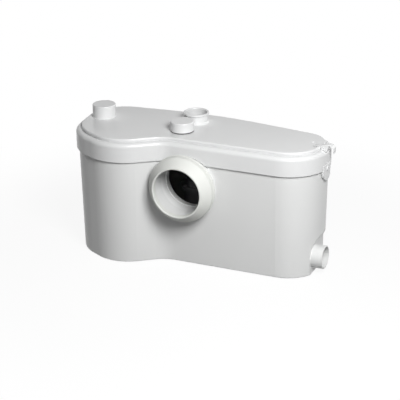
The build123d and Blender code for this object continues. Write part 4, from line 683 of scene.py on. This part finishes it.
def screw_tree():
    """Geometry Nodes that set a hex screw with a cross recess on every point of the input."""
    tree = bpy.data.node_groups.new("hex screws", "GeometryNodeTree")
    tree.interface.new_socket("Geometry", in_out="INPUT", socket_type="NodeSocketGeometry")
    for name in (
        "Head radius", "Head height", "Washer height", "Shank radius", "Shank length",
        "Recess length", "Recess width", "Recess depth", "Head down",
    ):
        tree.interface.new_socket(name, in_out="INPUT", socket_type="NodeSocketFloat")
    tree.interface.new_socket("Material", in_out="INPUT", socket_type="NodeSocketMaterial")
    tree.interface.new_socket("Geometry", in_out="OUTPUT", socket_type="NodeSocketGeometry")
    nodes, links = tree.nodes, tree.links
    given = nodes.new("NodeGroupInput").outputs
    result = nodes.new("NodeGroupOutput")

    def sum_of(first, second, factor=1.0):
        """First, a number or a socket, plus second times factor."""
        node = nodes.new("ShaderNodeMath")
        node.operation = "MULTIPLY_ADD"
        node.inputs[1].default_value = factor
        links.new(second, node.inputs[0])
        if isinstance(first, float):
            node.inputs[2].default_value = first
        else:
            links.new(first, node.inputs[2])
        return node.outputs[0]

    def share_of(value, share):
        """A value times a share."""
        return sum_of(0.0, value, share)

    def moved(geometry, height):
        """Geometry raised by a height."""
        place = nodes.new("ShaderNodeCombineXYZ")
        move = nodes.new("GeometryNodeTransform")
        links.new(height, place.inputs["Z"])
        links.new(geometry, move.inputs["Geometry"])
        links.new(place.outputs["Vector"], move.inputs["Translation"])
        return move.outputs["Geometry"]

    def rod(sides, radius, depth, middle):
        """An upright rod about a middle height."""
        node = nodes.new("GeometryNodeMeshCylinder")
        node.inputs["Vertices"].default_value = sides
        links.new(radius, node.inputs["Radius"])
        links.new(depth, node.inputs["Depth"])
        return moved(node.outputs["Mesh"], middle)

    head, washer, shank_length = given["Head height"], given["Washer height"], given["Shank length"]
    flange_share = 0.99
    hex_height = sum_of(head, washer, -1.0)
    hexagon = rod(6, given["Head radius"], hex_height, sum_of(share_of(washer, 0.5), head, 0.5))
    flange = rod(40, share_of(given["Head radius"], flange_share), washer, share_of(washer, 0.5))
    shank = rod(24, given["Shank radius"], shank_length, share_of(shank_length, -0.5))
    cut = nodes.new("GeometryNodeMeshBoolean")
    cut.operation = "DIFFERENCE"
    links.new(hexagon, cut.inputs["Mesh 1"])
    for along, across in (("X", "Y"), ("Y", "X")):
        size = nodes.new("ShaderNodeCombineXYZ")
        bar = nodes.new("GeometryNodeMeshCube")
        links.new(given["Recess length"], size.inputs[along])
        links.new(given["Recess width"], size.inputs[across])
        links.new(share_of(given["Recess depth"], 2.0), size.inputs["Z"])
        links.new(size.outputs["Vector"], bar.inputs["Size"])
        links.new(moved(bar.outputs["Mesh"], head), cut.inputs["Mesh 2"])
    join = nodes.new("GeometryNodeJoinGeometry")
    for part in (cut.outputs["Mesh"], flange, shank):
        links.new(part, join.inputs["Geometry"])
    turn = nodes.new("ShaderNodeCombineXYZ")
    links.new(given["Head down"], turn.inputs["X"])
    place = nodes.new("GeometryNodeInstanceOnPoints")
    links.new(given["Geometry"], place.inputs["Points"])
    links.new(join.outputs["Geometry"], place.inputs["Instance"])
    links.new(turn.outputs["Vector"], place.inputs["Rotation"])
    real = nodes.new("GeometryNodeRealizeInstances")
    paint_all = nodes.new("GeometryNodeSetMaterial")
    links.new(place.outputs["Instances"], real.inputs["Geometry"])
    links.new(real.outputs["Geometry"], paint_all.inputs["Geometry"])
    links.new(given["Material"], paint_all.inputs["Material"])
    links.new(paint_all.outputs["Geometry"], result.inputs["Geometry"])
    return tree


def grown(name, points, tree, values, material):
    """Run a tree over points and keep what it makes as a plain mesh."""
    seed = bpy.data.meshes.new(name + " points")
    seed.from_pydata(points, [], [])
    holder = bpy.data.objects.new(name + " points", seed)
    bpy.context.scene.collection.objects.link(holder)
    modifier = holder.modifiers.new("grow", "NODES")
    modifier.node_group = tree
    for socket in tree.interface.items_tree:
        if socket.in_out == "INPUT" and socket.name in values:
            modifier[socket.identifier] = values[socket.name]
        elif socket.in_out == "INPUT" and socket.name == "Material":
            modifier[socket.identifier] = material
    graph = bpy.context.evaluated_depsgraph_get()
    mesh = bpy.data.meshes.new_from_object(holder.evaluated_get(graph))
    mesh.name = name
    bpy.data.objects.remove(holder)
    bpy.data.meshes.remove(seed)
    return mesh


class PUMP_OT_screws(bpy.types.Operator):
    """Set a hex screw with a cross recess at each screw place, with Geometry Nodes"""
    bl_idname = "pump.screws"
    bl_label = "Screws"

    def execute(self, context):
        sizes = context.scene.pump_sizes
        head = sizes.screw_head_height
        washer_share, recess_length_share, recess_width_share = 0.22, 0.52, 0.13
        steel = finish("screw steel", (0.58, 0.58, 0.6), 0.32, metallic=1.0, grain=(900.0, 0.1), drift=0.05)
        tree = screw_tree()
        for name in screw_nodes:
            boxes = loose_boxes(name)
            low, high = boxes[0]
            across = high.x - low.x
            down = name in low_screw_nodes
            values = {
                "Head radius": across / 2,
                "Head height": head,
                "Washer height": head * washer_share,
                "Shank radius": sizes.screw_shank,
                "Shank length": high.z - low.z - head,
                "Recess length": across * recess_length_share,
                "Recess width": across * recess_width_share,
                "Recess depth": sizes.screw_drive,
                "Head down": math.pi if down else 0.0,
            }
            points = [
                ((a.x + b.x) / 2, (a.y + b.y) / 2, a.z + head if down else b.z - head) for a, b in boxes
            ]
            mesh = grown(name + " turned", points, tree, values, steel)
            add_piece(name + "_turned", mesh, steel, body_of_node(name), [name])
        return {"FINISHED"}


class PUMP_PT_panel(bpy.types.Panel):
    """Lists the pump's sizes, colours and pieces"""
    bl_idname = "PUMP_PT_panel"
    bl_label = "Macerator pump"
    bl_space_type = "VIEW_3D"
    bl_region_type = "UI"
    bl_category = "Pump"

    def draw(self, context):
        layout = self.layout
        for group in (context.scene.pump_sizes, context.scene.pump_colours):
            box = layout.box()
            for key in group.__annotations__:
                box.prop(group, key)
        for operator in operators:
            layout.operator(operator.bl_idname)


operators = [
    PUMP_OT_stage,
    PUMP_OT_shell,
    PUMP_OT_sleeve,
    PUMP_OT_lid_trim,
    PUMP_OT_rubber,
    PUMP_OT_plastics,
    PUMP_OT_metals,
    PUMP_OT_screws,
]
classes = [PumpSizes, PumpColours, *operators, PUMP_PT_panel]


def register():
    for item in classes:
        bpy.utils.register_class(item)
    bpy.types.Scene.pump_sizes = PointerProperty(type=PumpSizes)
    bpy.types.Scene.pump_colours = PointerProperty(type=PumpColours)


def unregister():
    del bpy.types.Scene.pump_colours
    del bpy.types.Scene.pump_sizes
    for item in reversed(classes):
        bpy.utils.unregister_class(item)


def main():
    register()
    bpy.ops.pump.stage()
    bpy.ops.pump.shell()
    bpy.ops.pump.sleeve()
    bpy.ops.pump.lid_trim()
    bpy.ops.pump.rubber()
    bpy.ops.pump.plastics()
    bpy.ops.pump.metals()
    bpy.ops.pump.screws()


if __name__ == "__main__":
    main()
